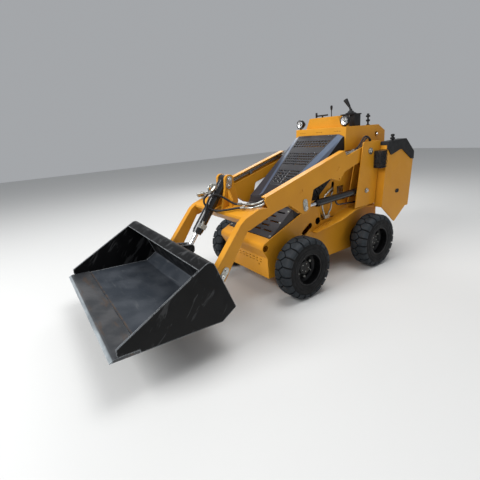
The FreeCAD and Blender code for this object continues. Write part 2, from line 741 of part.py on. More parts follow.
def tyre_outline():
    """Section of a solid tyre."""
    face = s.tyre_face_x
    inner = face - s.tyre_width
    seat = s.rim_diameter / 2
    shoulder = wheel_radius - s.tyre_crown
    bead = 4
    return [
        (inner + bead, seat),
        (face - bead, seat),
        (face, seat + s.tyre_shoulder),
        (face - bead, shoulder),
        (face - s.tyre_shoulder, wheel_radius),
        (inner + s.tyre_shoulder, wheel_radius),
        (inner + bead, shoulder),
        (inner, seat + s.tyre_shoulder),
    ]


def rim_outline(disc):
    """Section of a dished rim, its disc's outer face at the given X."""
    inner = s.tyre_face_x - s.tyre_width + s.rim_inset
    edge = s.tyre_face_x - s.rim_inset
    seat = s.rim_diameter / 2
    wall = s.rim_wall
    bore = s.spindle_diameter / 2 + s.run_clearance
    hub = s.hub_diameter / 2
    slope = 14
    return [
        (disc - wall, bore),
        (disc + s.hub_height - wall, bore),
        (disc + s.hub_height - wall, 0),
        (disc + s.hub_height, 0),
        (disc + s.hub_height, hub),
        (disc, hub),
        (disc, seat - wall - slope),
        (disc + slope, seat - wall),
        (edge, seat - wall),
        (edge, seat),
        (inner, seat),
        (inner, seat - wall),
        (disc - wall, seat - wall),
    ]


def build_wheels():
    """Four solid tyres on dished rims, each rim with its hub and wheel nuts."""
    disc = s.tyre_face_x - s.rim_inset - s.disc_depth
    nut_radius = s.stud_diameter / 2
    for side_name, side in SIDES:
        for axle_name, axle_y in AXLES:
            name = "%s_%s" % (axle_name, side_name)
            turn = Rotation() if side > 0 else Rotation(Vector(0, 0, 1), 180)
            place = Placement(Vector(0, axle_y, wheel_radius), turn)
            tyre = new_body("tyre_" + name)
            ring_body(tyre, "tyre_" + name, tyre_outline())
            rim = new_body("rim_" + name)
            section = ring_body(rim, "rim_" + name, rim_outline(disc))
            nut_sketch = plane_sketch(rim, "YZ_Plane", "nut_sketch_" + name, disc - 1)
            corners = []
            for k in range(6):
                a = math.radians(60 * k)
                corners.append((nut_radius * math.cos(a), s.stud_circle / 2 + nut_radius * math.sin(a)))
            nut_sketch.addGeometry(outline_edges(corners), False)
            nut = pad(rim, "nut_" + name, nut_sketch, s.stud_height + 1)
            pattern = rim.newObject("PartDesign::PolarPattern", "nuts_" + name)
            pattern.Originals = [nut]
            pattern.Axis = (section, ["H_Axis"])
            pattern.Angle = 360
            pattern.Occurrences = int(s.stud_count)
            rim.Tip = pattern
            for body in (tyre, rim):
                body.Placement = place
                body.setExpression("Placement.Base.y", axle_y.formula)
                body.setExpression("Placement.Base.z", wheel_radius.formula)


def build_wheel_motors():
    """Wheel motors on the side plates, each with its flange and the spindle that carries its wheel."""
    reach = s.tyre_face_x - s.rim_inset - s.disc_depth + s.hub_height - s.rim_wall - s.side_clearance
    base = s.frame_half_width
    rounds = (
        (s.motor_flange_diameter, s.motor_flange),
        (s.motor_diameter, s.motor_length),
        (s.spindle_diameter, reach - base),
    )
    motors = []
    for _, side in SIDES:
        for _, axle_y in AXLES:
            steps = []
            for diameter, length in rounds:
                low_x = low_side(side, base, length)
                steps.append(tube_x(axle_y, wheel_radius, low_x, length, diameter / 2))
            motors.append(join(steps))
    feature("wheel_motors", Part.makeCompound(motors))


def nose_line():
    """Outer line of the nose from its top edge round to the bottom of the front plate."""
    front_y = s.nose_under_y + 4
    return [
        (s.nose_top_y, s.nose_top_z),
        (s.nose_front_y + 6, s.nose_front_z + 14, s.nose_radius),
        (s.nose_front_y, s.nose_front_z - 22, s.nose_radius),
        (s.nose_under_y, s.nose_under_z, 14),
        (front_y, s.frame_bottom_z),
    ]


def plate_strip(start, end, thickness):
    """Outline of a straight plate in the side view, its thickness to the left of its line."""
    return bent_sheet([start, end], thickness)


def build_chassis():
    """Side plates with their holes, rolled nose, floor and rear plate, welded into one frame."""
    nose = nose_line()
    bottom = s.frame_bottom_z
    rear = s.frame_rear_y
    side_outline = list(nose) + [
        (rear, bottom),
        (rear, s.deck_z),
        (s.side_step_y + 24, s.deck_z, 20),
        (s.side_step_y, s.side_step_z, 30),
        (s.side_top_y + 110, s.side_step_z),
        (s.side_top_y, s.side_top_z),
    ]
    frame = new_body("chassis_frame")
    width = 2 * frame_inner_x
    floor = plate_strip((s.nose_under_y + 4, bottom), (rear, bottom), s.side_plate)
    rear_plate = plate_strip((rear, bottom), (rear, s.deck_z), s.side_plate)
    side_pad(frame, "side_plate_left", side_outline, frame_inner_x, s.side_plate)
    side_pad(frame, "nose", bent_sheet(nose, s.side_plate), -frame_inner_x, width)
    side_pad(frame, "floor", floor, -frame_inner_x, width)
    side_pad(frame, "rear_plate", rear_plate, -frame_inner_x, width)
    side_pad(frame, "side_plate_right", side_outline, -s.frame_half_width, s.side_plate)
    full = 2 * s.frame_half_width + 2 * CUT
    start = -s.frame_half_width - CUT
    slot = slot_outline(s.slot_y, s.slot_z, s.slot_length, s.slot_width, s.slot_angle)
    side_pocket(frame, "slanted_slots", slot, start, full)
    side_bore(frame, "round_holes", s.round_hole_y, s.round_hole_z, s.round_hole_diameter / 2, start, full)
    hole_y = s.nose_front_y + s.nose_hole_inset
    hole_z = s.nose_front_z - s.nose_hole_drop
    side_bore(frame, "nose_holes", hole_y, hole_z, s.nose_hole_diameter / 2, start, full)

    vents = plane_sketch(frame, "XZ_Plane", "front_vents_sketch", -s.nose_under_y - CUT * 10)
    count = int(s.front_slot_count)
    for row in range(2):
        z = s.front_slot_z - row * s.front_slot_row
        for k in range(count):
            x = (k - (count - 1) / 2) * s.front_slot_pitch
            outline = slot_outline(x, z, s.front_slot_length, s.front_slot_width, 0, rounded=False)
            vents.addGeometry(outline_edges(outline), False)
    for side in (1, -1):
        centre = Vector(float(side * s.front_hole_x), float(s.front_hole_z), 0)
        vents.addGeometry(Part.Circle(centre, Vector(0, 0, 1), float(s.front_hole_diameter) / 2), False)
    pocket(frame, "front_vents", vents, s.side_plate + CUT * 20)


def fender_line():
    """Top line of a fender in the side view."""
    return [
        (s.fender_front_y, s.fender_front_z),
        (s.fender_mid_y, s.fender_mid_z, 120),
        (s.tower_foot_front_y + 20, fender_top_z - 8, 80),
        (s.fender_top_y, fender_top_z, 60),
        (s.tower_foot_rear_y + 4, fender_top_z - s.fender_rear_drop),
    ]


def build_fenders():
    """Sloping fenders that widen towards the towers and arch over the rear wheels, with two raised ribs."""
    (dy, dz), length = unit(fender_line()[0], fender_line()[1])
    rib_x = (s.fender_front_x + s.frame_half_width) / 2
    for side_name, side in SIDES:
        band = bent_sheet(fender_line()[::-1], s.fender_plate)
        solid = prism(band, s.frame_half_width, s.tower_outer_x)
        wedge = Part.makePolygon([
            Vector(s.fender_front_x, s.fender_front_y - CUT, 0),
            Vector(s.tower_outer_x + CUT, s.fender_front_y - CUT, 0),
            Vector(s.tower_outer_x + CUT, s.fender_mid_y, 0),
            Vector(s.fender_front_x, s.fender_front_y - CUT, 0),
        ])
        solid = solid.cut(Part.Face(wedge).extrude(Vector(0, 0, 2 * fender_top_z)))
        ribs = []
        for k in range(2):
            shift = (0.12 + 0.22 * k) * length
            low = (s.fender_front_y + dy * shift, s.fender_front_z + dz * shift)
            high = (low[0] + dy * s.fender_rib_length, low[1] + dz * s.fender_rib_length)
            top = s.fender_rib_height
            rise = s.fender_rib_length * 0.2
            outline = [
                (low[0], low[1] - CUT),
                (high[0], high[1] - CUT),
                (high[0] - dy * rise - dz * top, high[1] - dz * rise + dy * top),
                (low[0] + dy * rise - dz * top, low[1] + dz * rise + dy * top),
            ]
            low_x = rib_x + (k - 0.7) * 1.6 * s.fender_rib_width
            ribs.append(prism(outline, low_x, low_x + s.fender_rib_width))
        solid = join([solid] + ribs)
        if side < 0:
            solid = solid.mirror(Vector(0, 0, 0), Vector(1, 0, 0))
        feature("fender_" + side_name, solid)


def tower_rear_y(z):
    """Y of a tower's sloping rear edge at a height."""
    share = (z - (fender_top_z + CUT)) / (s.tower_head_z - (fender_top_z + CUT))
    return s.tower_foot_rear_y + share * (s.tower_head_rear_y - s.tower_foot_rear_y)


def build_towers():
    """Two towers, each an outer and an inner plate with a web behind the arm."""
    foot_z = fender_top_z + CUT
    head = (s.tower_head_rear_y, s.tower_head_z)
    foot = (s.tower_foot_rear_y, foot_z)
    outer_outline = [
        (s.tower_foot_front_y, foot_z),
        foot,
        head,
        (s.tower_head_front_y, s.tower_head_z, s.tower_front_radius),
    ]
    round_top = s.arm_boss_radius
    inner_outline = [
        (s.tower_foot_front_y, foot_z),
        foot,
        (tower_rear_y(s.pivot_z), s.pivot_z),
        (s.pivot_y + round_top, s.pivot_z + round_top, round_top),
        (s.pivot_y - round_top, s.pivot_z + round_top, round_top),
        (s.pivot_y - round_top - 30, s.pivot_z - round_top, round_top),
    ]
    web = [foot, head, (head[0] - s.tower_web, head[1]), (foot[0] - s.tower_web, foot[1])]
    inner = tower_inner_x
    outer = s.tower_outer_x - s.tower_plate
    whole = s.tower_outer_x - inner
    for side_name, side in SIDES:
        tower = new_body("tower_" + side_name)
        side_pad(tower, "web_" + side_name, web, low_side(side, inner, whole), whole)
        side_pad(tower, "outer_plate_" + side_name, outer_outline, low_side(side, outer, s.tower_plate), s.tower_plate)
        side_pad(tower, "inner_plate_" + side_name, inner_outline, low_side(side, inner, s.tower_plate), s.tower_plate)
        low = low_side(side, inner, whole) - CUT
        width = whole + 2 * CUT
        side_bore(tower, "pivot_bore_" + side_name, s.pivot_y, s.pivot_z, s.pivot_pin_diameter / 2, low, width)
        side_bore(tower, "base_bore_" + side_name, s.lift_base_y, s.lift_base_z, s.lift_pin_diameter / 2, low, width)


def build_tower_pins():
    """Pivot pins of the boom and base pins of the lift cylinders, held in the towers."""
    pins = (
        (s.pivot_y, s.pivot_z, s.pivot_pin_diameter, 1.35),
        (s.lift_base_y, s.lift_base_z, s.lift_pin_diameter, 1.45),
    )
    shapes = []
    span = s.tower_outer_x - tower_inner_x
    for _, side in SIDES:
        for y, z, diameter, head_share in pins:
            shaft = tube_x(y, z, low_side(side, tower_inner_x, span), span, diameter / 2)
            cap_x = low_side(side, s.tower_outer_x, s.tower_cap)
            cap = tube_x(y, z, cap_x, s.tower_cap, diameter / 2 * head_share)
            shapes.append(join([shaft, cap]))
    feature("tower_pins", Part.makeCompound(shapes))


def wing_y(share):
    """Y of a place between the tower's foot and the rear end of a wing."""
    return s.tower_foot_rear_y + share * (s.wing_rear_y - s.tower_foot_rear_y)


def wing_front(z):
    """Y of the wing's front edge at a height: it continues the tower's sloping rear edge."""
    share = (z - s.wing_front_z) / (s.tower_head_z - s.wing_front_z)
    return s.tower_foot_rear_y + 3 + share * (s.tower_head_rear_y - s.tower_foot_rear_y)


def wing_outline():
    """Side view of a wing plate."""
    return [
        (wing_front(s.wing_front_z), s.wing_front_z, 10),
        (wing_y(s.wing_toe_share), s.wing_toe_z, 18),
        (wing_y(s.wing_notch_share), s.wing_heel_z, 8),
        (wing_y(s.wing_heel_share), s.wing_heel_z, 6),
        (s.wing_rear_y, s.wing_rear_z),
        (s.wing_rear_y - 8, s.wing_rear_z + 72, 12),
        (wing_y(s.pad_crest_share), s.wing_head_z, 30),
        (wing_front(s.wing_head_z), s.wing_head_z),
    ]


def strip_outline():
    """Side view of the strip that joins a wing plate to its tower."""
    low, high = s.wing_front_z, s.wing_head_z
    return [
        (wing_front(low), low),
        (wing_front(low) + s.wing_plate, low),
        (wing_front(high) + s.wing_plate, high),
        (wing_front(high), high),
    ]


def build_wings():
    """Wing plates beside the operator, each with a front strip that reaches the tower."""
    inner = s.wing_x - s.wing_plate
    width = s.wing_x - s.tower_outer_x + s.tower_plate
    for side_name, side in SIDES:
        wing = new_body("wing_" + side_name)
        side_pad(wing, "wing_plate_" + side_name, wing_outline(), low_side(side, inner, s.wing_plate), s.wing_plate)
        low = low_side(side, s.tower_outer_x - s.tower_plate, width)
        side_pad(wing, "wing_strip_" + side_name, strip_outline(), low, width)
        hole = slot_outline(wing_y(s.wing_hole_share), s.wing_hole_z, s.wing_hole_length, s.wing_hole_width, 0)
        low = low_side(side, inner, s.wing_plate) - CUT
        side_pocket(wing, "wing_hole_" + side_name, hole, low, s.wing_plate + 2 * CUT)


def pad_outline():
    """Side view of a pad, with its wavy lower edge."""
    low_y, high_y = wing_y(s.pad_wave_low_share), wing_y(s.pad_wave_high_share)
    return [
        (wing_front(s.pad_front_z) - 4, s.pad_front_z),
        (wing_front(s.pad_front_z) + 8, s.pad_front_z, 6),
        (low_y, s.pad_wave_low_z, 16),
        (high_y - 20, s.pad_wave_high_z, 40),
        (high_y + 12, s.pad_wave_high_z - 6, 30),
        (s.wing_rear_y - 40, s.wing_rear_z + 12, 10),
        (s.wing_rear_y, s.wing_rear_z + 8, 6),
        (s.wing_rear_y, s.wing_rear_z + 76, 18),
        (wing_y(s.pad_crest_share), s.pad_crest_z, 20),
        (wing_front(s.pad_top_z) - 4, s.pad_top_z, 6),
    ]


def build_pads():
    """Moulded pads that cap the wings."""
    inner = s.wing_x - s.wing_plate
    under = s.wing_rear_z - 2 * s.pad_roof
    for side_name, side in SIDES:
        solid = prism(pad_outline(), s.pad_inner_x, s.wing_x + s.pad_lip)
        plate = prism(wing_outline(), inner, s.wing_x)
        strip = prism(strip_outline(), s.tower_outer_x - s.tower_plate, s.wing_x)
        hollow = prism([
            (wing_front(s.pad_front_z) - 10, under),
            (s.wing_rear_y + 10, under),
            (s.wing_rear_y + 10, s.wing_rear_z + 40),
            (wing_y(s.pad_crest_share), s.pad_crest_z - s.pad_roof),
            (wing_front(s.pad_top_z) - 10, s.pad_top_z - s.pad_roof),
        ], s.pad_inner_x - CUT, inner)
        solid = max(solid.cut([plate, strip, hollow]).Solids, key=lambda piece: piece.Volume)
        if side < 0:
            solid = solid.mirror(Vector(0, 0, 0), Vector(1, 0, 0))
        feature("pad_" + side_name, solid)


def build_pad_knob():
    """Knob that stands on the left pad."""
    share = s.pad_knob_share
    crest_share = s.pad_crest_share
    top = s.pad_top_z + (s.pad_crest_z - s.pad_top_z) * (share / crest_share)
    foot = ((s.pad_inner_x + s.wing_x) / 2 + 14, wing_y(share), top - s.pad_sink)
    steps = ((0.5, 0), (0.5, 0.14), (1, 0.2), (1, 0.46), (0.5, 0.5), (0.5, 0.62), (0.8, 0.66), (0.8, 0.92), (0.4, 1))
    knob = turned(steps, foot, s.pad_knob_diameter, s.pad_knob_height)
    feature("pad_knob", knob.cut(prism(pad_outline(), s.pad_inner_x, s.wing_x + s.pad_lip)))


def build_console():
    """Console box over the engine bay with its lock bar, and the cowl on top of it."""
    top = s.console_top_z
    low = console_low_z
    front, rear = s.console_front_y, s.console_rear_y
    wall, half = s.console_wall, s.console_half_width
    outline = [
        (front, top - s.console_face),
        (front + 4, low),
        (rear, low),
        (rear, top - s.console_chamfer_drop, 8),
        (rear - s.console_chamfer, top, 8),
        (front + s.console_lean, top, 4),
    ]
    inside = [
        (front + wall + 6, low - CUT),
        (rear - wall, low - CUT),
        (rear - wall, top - s.console_chamfer_drop - wall),
        (rear - s.console_chamfer - CUT, top - wall),
        (front + s.console_lean + wall, top - wall),
    ]
    console = new_body("console")
    side_pad(console, "console_block", outline, -half, 2 * half)
    side_pocket(console, "console_inside", inside, -half + wall, 2 * (half - wall))
    hole_z = top - s.lock_hole_drop
    whole = 2 * half + 2 * CUT
    side_bore(console, "lock_holes", s.lock_hole_y, hole_z, s.lock_hole_diameter / 2, -half - CUT, whole)
    seat = (s.lock_hole_diameter - s.lock_pin_diameter) / 2 * 0.8
    side_boss(console, "lock_bar", s.lock_hole_y + seat, hole_z - seat, s.lock_pin_diameter / 2, -half, 2 * half)
    dots = plane_sketch(console, "XZ_Plane", "front_holes_sketch", -front - 3 * wall)
    for group in (-1, 0, 1):
        for k in (-1, 0, 1):
            centre = Vector(group * float(s.console_hole_x) + k * 24, float(top - s.console_hole_drop), 0)
            dots.addGeometry(Part.Circle(centre, Vector(0, 0, 1), float(s.console_hole) / 2), False)
    pocket(console, "front_holes", dots, 4 * wall)

    head_z = top + s.cowl_height
    front = s.cowl_front_y
    cowl = new_body("cowl")
    foot_half, head_half = s.cowl_foot_half, s.cowl_head_half
    section = plane_sketch(cowl, "XZ_Plane", "cowl_sketch", -front - s.cowl_depth)
    trapezoid = [(-foot_half, top), (foot_half, top), (head_half, head_z, 6), (-head_half, head_z, 6)]
    section.addGeometry(outline_edges(trapezoid), False)
    pad(cowl, "cowl_pad", section, s.cowl_depth)
    hollow = plane_sketch(cowl, "XZ_Plane", "cowl_inside_sketch", -front - wall)
    opening = [
        (-foot_half + wall, top - CUT),
        (foot_half - wall, top - CUT),
        (head_half - wall, head_z - wall),
        (-head_half + wall, head_z - wall),
    ]
    hollow.addGeometry(outline_edges(opening), False)
    pocket(cowl, "cowl_inside", hollow, s.cowl_depth, towards_normal=False)


def build_lamps():
    """Two round work lamps on posts beside the cowl."""
    radius = s.lamp_diameter / 2
    rim = 5
    back = Vector(0, 1, 0)
    lamps = []
    for _, side in SIDES:
        middle = Vector(side * s.lamp_x, s.lamp_y, s.console_top_z + s.lamp_rise)
        shell = Part.makeCylinder(radius, s.lamp_depth * 0.4, middle, back)
        cone_start = middle + back * (s.lamp_depth * 0.4)
        cone = Part.makeCone(radius, radius / 2, s.lamp_depth * 0.6, cone_start, back)
        post_half = s.lamp_post / 2
        low = (middle.x - post_half, s.lamp_y + 8, s.console_top_z)
        high = (middle.x + post_half, s.lamp_y + 18, middle.z - radius + 8)
        face = Part.makeCylinder(radius - rim, rim, middle, back)
        lamps.append(join([shell, cone, block(low, high)]).cut(face))
    feature("work_lamps", Part.makeCompound(lamps))


def build_controls():
    """Joystick on its plate and valve, hand levers and the small knob stand."""
    plate_z = cowl_head_z + 1
    x, y = s.joystick_x, s.joystick_y
    thick = 9
    valve_inner = s.cowl_foot_half + 9
    valve = block((valve_inner, y - 46, s.console_top_z), (valve_inner + 50, y + 34, plate_z))
    rim = [(-70, -50), (-40, -70), (48, -70), (76, -42), (76, 42), (48, 70), (-40, 70), (-70, 50)]
    corners = [Vector(float(x + u), float(y + v), float(plate_z)) for u, v in rim]
    plate = Part.Face(Part.makePolygon(corners + corners[:1])).extrude(Vector(0, 0, thick))
    boot_height = 40
    boot = turned(((1, 0), (1, 0.2), (0.66, 0.28), (0.5, 0.6), (0.3, 0.66), (0.26, 1)),
                  (x, y, plate_z + thick), s.joystick_boot, boot_height)
    elbow = (x - 14, y - 3, plate_z + thick + boot_height * 1.6)
    tip = (x - 50, y - 6, plate_z + thick + s.joystick_height)
    stick = rod_between((x, y, plate_z + thick + boot_height - 6), elbow, 9)
    length = math.dist(elbow, tip)
    grip = Part.makeCone(11, 19, length, Vector(*elbow), Vector(*tip) - Vector(*elbow))
    feature("joystick", join([valve, plate, boot, stick, grip]))

    lever_x, bar_z = s.lever_x, cowl_head_z + 23
    lever = rod_between((lever_x, y, cowl_head_z), (lever_x, y, cowl_head_z + s.lever_height * 0.7), 4)
    knob = turned(((0.5, 0), (0.8, 0.15), (1, 0.6), (0.85, 0.9), (0.4, 1)),
                  (lever_x, y, cowl_head_z + s.lever_height * 0.6), 22, s.lever_height * 0.4)
    bar = rod_between((lever_x - 180, y, bar_z), (lever_x - 44, y, bar_z), 7)
    stub = rod_between((lever_x - 177, y, bar_z - 16), (lever_x - 177, y, bar_z + 29), 9)
    foot = rod_between((lever_x - 104, y, cowl_head_z), (lever_x - 104, y, bar_z), 8)
    feature("hand_levers", Part.makeCompound([join([lever, knob]), join([bar, stub, foot])]))

    steps = ((0.8, 0), (0.8, 0.06), (0.4, 0.08), (0.4, 0.3), (0.94, 0.33), (0.94, 0.47), (0.4, 0.5),
             (0.4, 0.68), (1, 0.71), (1, 0.84), (0.55, 0.87), (0.55, 1))
    stand = turned(steps, (s.knob_x, s.knob_y, s.console_top_z), s.knob_diameter, s.knob_height)
    feature("knob_stand", stand)


def hood_half_at(y):
    """Half width of the hood's perforated face at a place along the machine."""
    share = (y - s.hood_foot_y) / (s.hood_top_y - s.hood_foot_y)
    return s.hood_half_foot + (s.hood_half_top - s.hood_half_foot) * share


def hood_section(y, inset):
    """Section of the hood across the machine, its outline moved inwards by an inset."""
    share = (y - s.hood_foot_y) / (s.hood_top_y - s.hood_foot_y)
    steep = hood_length / (s.hood_top_y - s.hood_foot_y)
    face_z = hood_face_z(y) - inset * steep
    half = hood_half_at(y)
    edge_drop = s.hood_edge_drop + (s.hood_band_drop + 1 - s.hood_edge_drop) * share
    side = s.hood_half - inset
    band = min(s.hood_band, side - 1 - half)
    right = [
        (half, face_z),
        (half + band, face_z - s.hood_band_drop * steep * (band / s.hood_band)),
        (side, face_z - edge_drop * steep),
        (side, face_z - (s.hood_skirt + 4 * inset) * steep),
    ]
    return right + [(-x, z) for x, z in right[::-1]]


def hood_loft(body, name, kind, first_y, last_y, inset):
    """A ruled loft between two sections of the hood."""
    sketches = []
    for end, y in (("foot", first_y), ("head", last_y)):
        sketch = plane_sketch(body, "XZ_Plane", "%s_%s" % (name, end), -y)
        sketch.addGeometry(outline_edges(hood_section(y, inset)), False)
        sketch.Visibility = False
        sketches.append(sketch)
    loft = body.newObject(kind, name)
    loft.Profile = sketches[0]
    loft.Sections = sketches[1:]
    loft.Ruled = True
    body.Tip = loft


def screen_outline():
    """Plan of the window in the hood's face that the screen fills, in the plane of X and Y."""
    low_y = s.screen_low_y
    high_y = s.screen_high_y
    low_half = hood_half_at(low_y) - s.screen_border
    high_half = hood_half_at(high_y) - s.screen_border
    return [(-low_half, low_y), (low_half, low_y), (high_half, high_y), (-high_half, high_y)]


def build_hood():
    """Sloping hood over the engine: tapering face, bevelled bands, louvred sides, perforated screen."""
    t = s.hood_sheet
    foot_y, top_y = s.hood_foot_y, s.hood_top_y
    back_y = s.console_front_y
    (dy, dz), _ = unit((foot_y, s.hood_foot_z), (top_y, hood_top_z))
    hood = new_body("hood")
    hood_loft(hood, "hood_outside", "PartDesign::AdditiveLoft", foot_y, top_y, 0)
    flange = plane_sketch(hood, "XZ_Plane", "hood_flange_sketch", -back_y)
    flange.addGeometry(outline_edges(hood_section(top_y, 0)), False)
    pad(hood, "hood_flange", flange, back_y - top_y)
    hood_loft(hood, "hood_inside", "PartDesign::SubtractiveLoft", foot_y + t, top_y, t)
    flange_inside = plane_sketch(hood, "XZ_Plane", "hood_flange_inside_sketch", -back_y - CUT)
    flange_inside.addGeometry(outline_edges(hood_section(top_y, t)), False)
    pocket(hood, "hood_flange_inside", flange_inside, back_y - top_y + 2 * CUT)
    reach = 2 * s.hood_half + 2 * CUT
    under = [
        (foot_y - CUT, s.hood_low_z),
        (foot_y - CUT, s.hood_low_z - 2 * s.hood_skirt),
        (back_y, s.hood_low_z - 2 * s.hood_skirt),
        (back_y, s.hood_low_z),
    ]
    side_pocket(hood, "hood_lower_edge", under, -s.hood_half - CUT, reach)
    lean = [(foot_y + 1, s.hood_foot_z - 39), (foot_y - 16, s.hood_foot_z - 78)]
    side_pad(hood, "hood_foot_band", bent_sheet(lean, t), -s.hood_half + t, 2 * (s.hood_half - t))
    angle = math.degrees(math.atan2(dz, dy)) + 90
    for k in range(int(s.louvre_count)):
        along = s.louvre_first + k * s.louvre_pitch
        across = s.hood_skirt - s.louvre_edge - s.louvre_length / 2
        y, z = foot_y + dy * along + dz * across, s.hood_foot_z + dz * along - dy * across
        outline = slot_outline(y, z, s.louvre_length, s.louvre_width, angle, rounded=False)
        side_pocket(hood, "louvre_%d" % k, outline, -s.hood_half - CUT, reach)
    window = plane_sketch(hood, "XY_Plane", "window_sketch", s.hood_foot_z)
    window.addGeometry(outline_edges(screen_outline()), False)
    pocket(hood, "screen_window", window, hood_top_z - s.hood_foot_z + CUT)

    screen = new_body("hood_screen")
    low_y, high_y = s.screen_low_y, s.screen_high_y
    plate = plane_sketch(screen, "XY_Plane", "screen_sketch", s.hood_foot_z)
    plate.addGeometry(outline_edges(screen_outline()), False)
    pad(screen, "screen_pad", plate, hood_top_z - s.hood_foot_z)
    drop = t * hood_length / (top_y - foot_y)
    face = [(y, hood_face_z(y)) for y in (low_y - CUT, high_y + CUT)]
    above = face + [(high_y + CUT, hood_top_z + CUT), (low_y - CUT, hood_top_z + CUT)]
    below = [(y, z - drop) for y, z in face] + [(high_y + CUT, s.hood_foot_z - CUT), (low_y - CUT, s.hood_foot_z - CUT)]
    side_pocket(screen, "screen_above", above, -s.hood_half, 2 * s.hood_half)
    side_pocket(screen, "screen_below", below, -s.hood_half, 2 * s.hood_half)
    holes = plane_sketch(screen, "XY_Plane", "screen_holes_sketch", s.hood_foot_z)
    columns = int(s.screen_columns)
    half_hole = s.screen_hole / 2
    for middle_y, rows in ((s.screen_band_high, 3), (s.screen_band_mid, 5), (s.screen_band_low, 5)):
        for row in range(rows):
            y = middle_y + (row - (rows - 1) / 2) * s.screen_row_pitch * dy
            half = hood_half_at(y) - s.screen_margin
            for k in range(columns):
                x = half * (2 * k / (columns - 1) - 1)
                square = [
                    (x - half_hole, y - half_hole * dy),
                    (x + half_hole, y - half_hole * dy),
                    (x + half_hole, y + half_hole * dy),
                    (x - half_hole, y + half_hole * dy),
                ]
                holes.addGeometry(outline_edges(square), False)
    pocket(screen, "screen_holes", holes, hood_top_z - s.hood_foot_z)


def build_front_cover():
    """Slotted cover between the nose and the hood, with closed sides."""
    foot = (s.nose_top_y + s.cover_foot_gap, s.nose_top_z + 2)
    head = (s.cover_head_y, s.cover_head_z)
    (dy, dz), length = unit(foot, head)
    t = s.cover_sheet
    cover = new_body("front_cover")
    side_pad(cover, "cover_face", bent_sheet([head, foot], t), -s.cover_half, 2 * s.cover_half)
    rear_y = s.hood_foot_y - s.cover_sheet
    skirt = [foot, head, (rear_y, head[1]), (rear_y, head[1] - s.cover_side_depth)]
    for side_name, side in SIDES:
        side_pad(cover, "cover_side_" + side_name, skirt, low_side(side, s.cover_half - t, t), t)
    slots = plane_sketch(cover, "XY_Plane", "cover_slots_sketch", foot[1] - CUT * 5)
    for row in range(5):
        along = length * (0.2 + 0.158 * row)
        count = 4 if row % 2 == 0 else 3
        for k in range(count):
            x = (k - (count - 1) / 2) * s.cover_slot_pitch
            y = foot[0] + dy * along
            outline = slot_outline(x, y, s.cover_slot_length, s.cover_slot_width * dy, 0, rounded=False)
            slots.addGeometry(outline_edges(outline), False)
    pocket(cover, "cover_slots", slots, head[1] - foot[1] + CUT * 10)


def build_bay():
    """Side panels of the engine bay, the slotted rear panel and the plain engine block."""
    half, t = s.body_half, s.body_panel
    steep = hood_length / (s.hood_top_y - s.hood_foot_y)
    front_y, high_y = s.side_step_y + 30, s.console_front_y + 4
    under_hood = (s.hood_skirt + 3) * steep
    outline = [
        (front_y, s.deck_z),
        (s.frame_rear_y, s.deck_z),
        (s.frame_rear_y, console_low_z),
        (high_y, console_low_z),
        (high_y, hood_face_z(high_y) - under_hood),
        (front_y, hood_face_z(front_y) - under_hood),
    ]
    hole = slot_outline(s.bay_hole_y, s.bay_hole_z, s.bay_hole_length, s.bay_hole_width, 80)
    for side_name, side in SIDES:
        panel = new_body("bay_panel_" + side_name)
        low = low_side(side, half - t, t)
        side_pad(panel, "panel_" + side_name, outline, low, t)
        side_pocket(panel, "panel_hole_" + side_name, hole, low - CUT, t + 2 * CUT)
        window = square_outline(s.bay_window_y, s.bay_window_z, s.bay_window_size)
        side_pocket(panel, "panel_window_" + side_name, window, low - CUT, t + 2 * CUT)

    rear = new_body("rear_panel")
    edge = half - t - 1
    plate = plane_sketch(rear, "XZ_Plane", "rear_plate_sketch", -s.frame_rear_y)
    low, high = s.deck_z + 1, console_low_z
    plate.addGeometry(outline_edges([(-edge, low), (edge, low), (edge, high), (-edge, high)]), False)
    pad(rear, "rear_plate", plate, t)
    slots = plane_sketch(rear, "XZ_Plane", "rear_slots_sketch", -s.frame_rear_y - CUT)
    count = int(s.rear_slot_count)
    for k in range(count):
        z = (low + high) / 2 + (k - (count - 1) / 2) * s.rear_slot_pitch
        outline = slot_outline(0, z, s.rear_slot_length, s.rear_slot_width, 0, rounded=False)
        slots.addGeometry(outline_edges(outline), False)
    pocket(rear, "rear_slots", slots, t + 2 * CUT)

    low = (-s.engine_half, s.engine_front_y, s.deck_z - s.engine_sump)
    high = (s.engine_half, s.engine_rear_y, s.deck_z + s.engine_height)
    box("engine_block", low, high)


def build_frame_fittings():
    """Valve block behind the left window, and the steel lines that come out beside the lift cylinder."""
    half = s.bay_window_size / 2 - 4
    y, z = s.bay_window_y, s.bay_window_z
    valve = block((s.engine_half, y - half, z - half), (s.body_half - s.body_panel, y + half, z + half))
    x = s.frame_half_width + 19
    deck = s.deck_z
    manifold = block((s.body_half, 374, deck + 16), (x + 14, 438, deck + 42))
    front_line = bent_tube([
        (x, 386, deck + 30),
        (x, 377, deck + 62),
        (x, 362, deck + 96),
        (x - 1, 360, deck + 146),
        (x - 6, 396, deck + 194),
        (x - 14, 470, deck + 230),
        (x - 22, 518, deck + 241),
        (x - 50, 532, deck + 242),
        (s.engine_half, 532, deck + 242),
    ], s.hard_line_diameter)
    rear_line = bent_tube([
        (x, 426, deck + 30),
        (x, 436, deck + 58),
        (x, 462, deck + 80),
        (x, 468, deck + 122),
        (x - 3, 474, deck + 166),
        (x - 14, 486, deck + 198),
        (x - 22, 512, deck + 214),
        (x - 50, 527, deck + 218),
        (s.engine_half, 527, deck + 218),
    ], s.hard_line_diameter)
    feature("frame_fittings", Part.makeCompound([valve, join([manifold, front_line, rear_line])]))


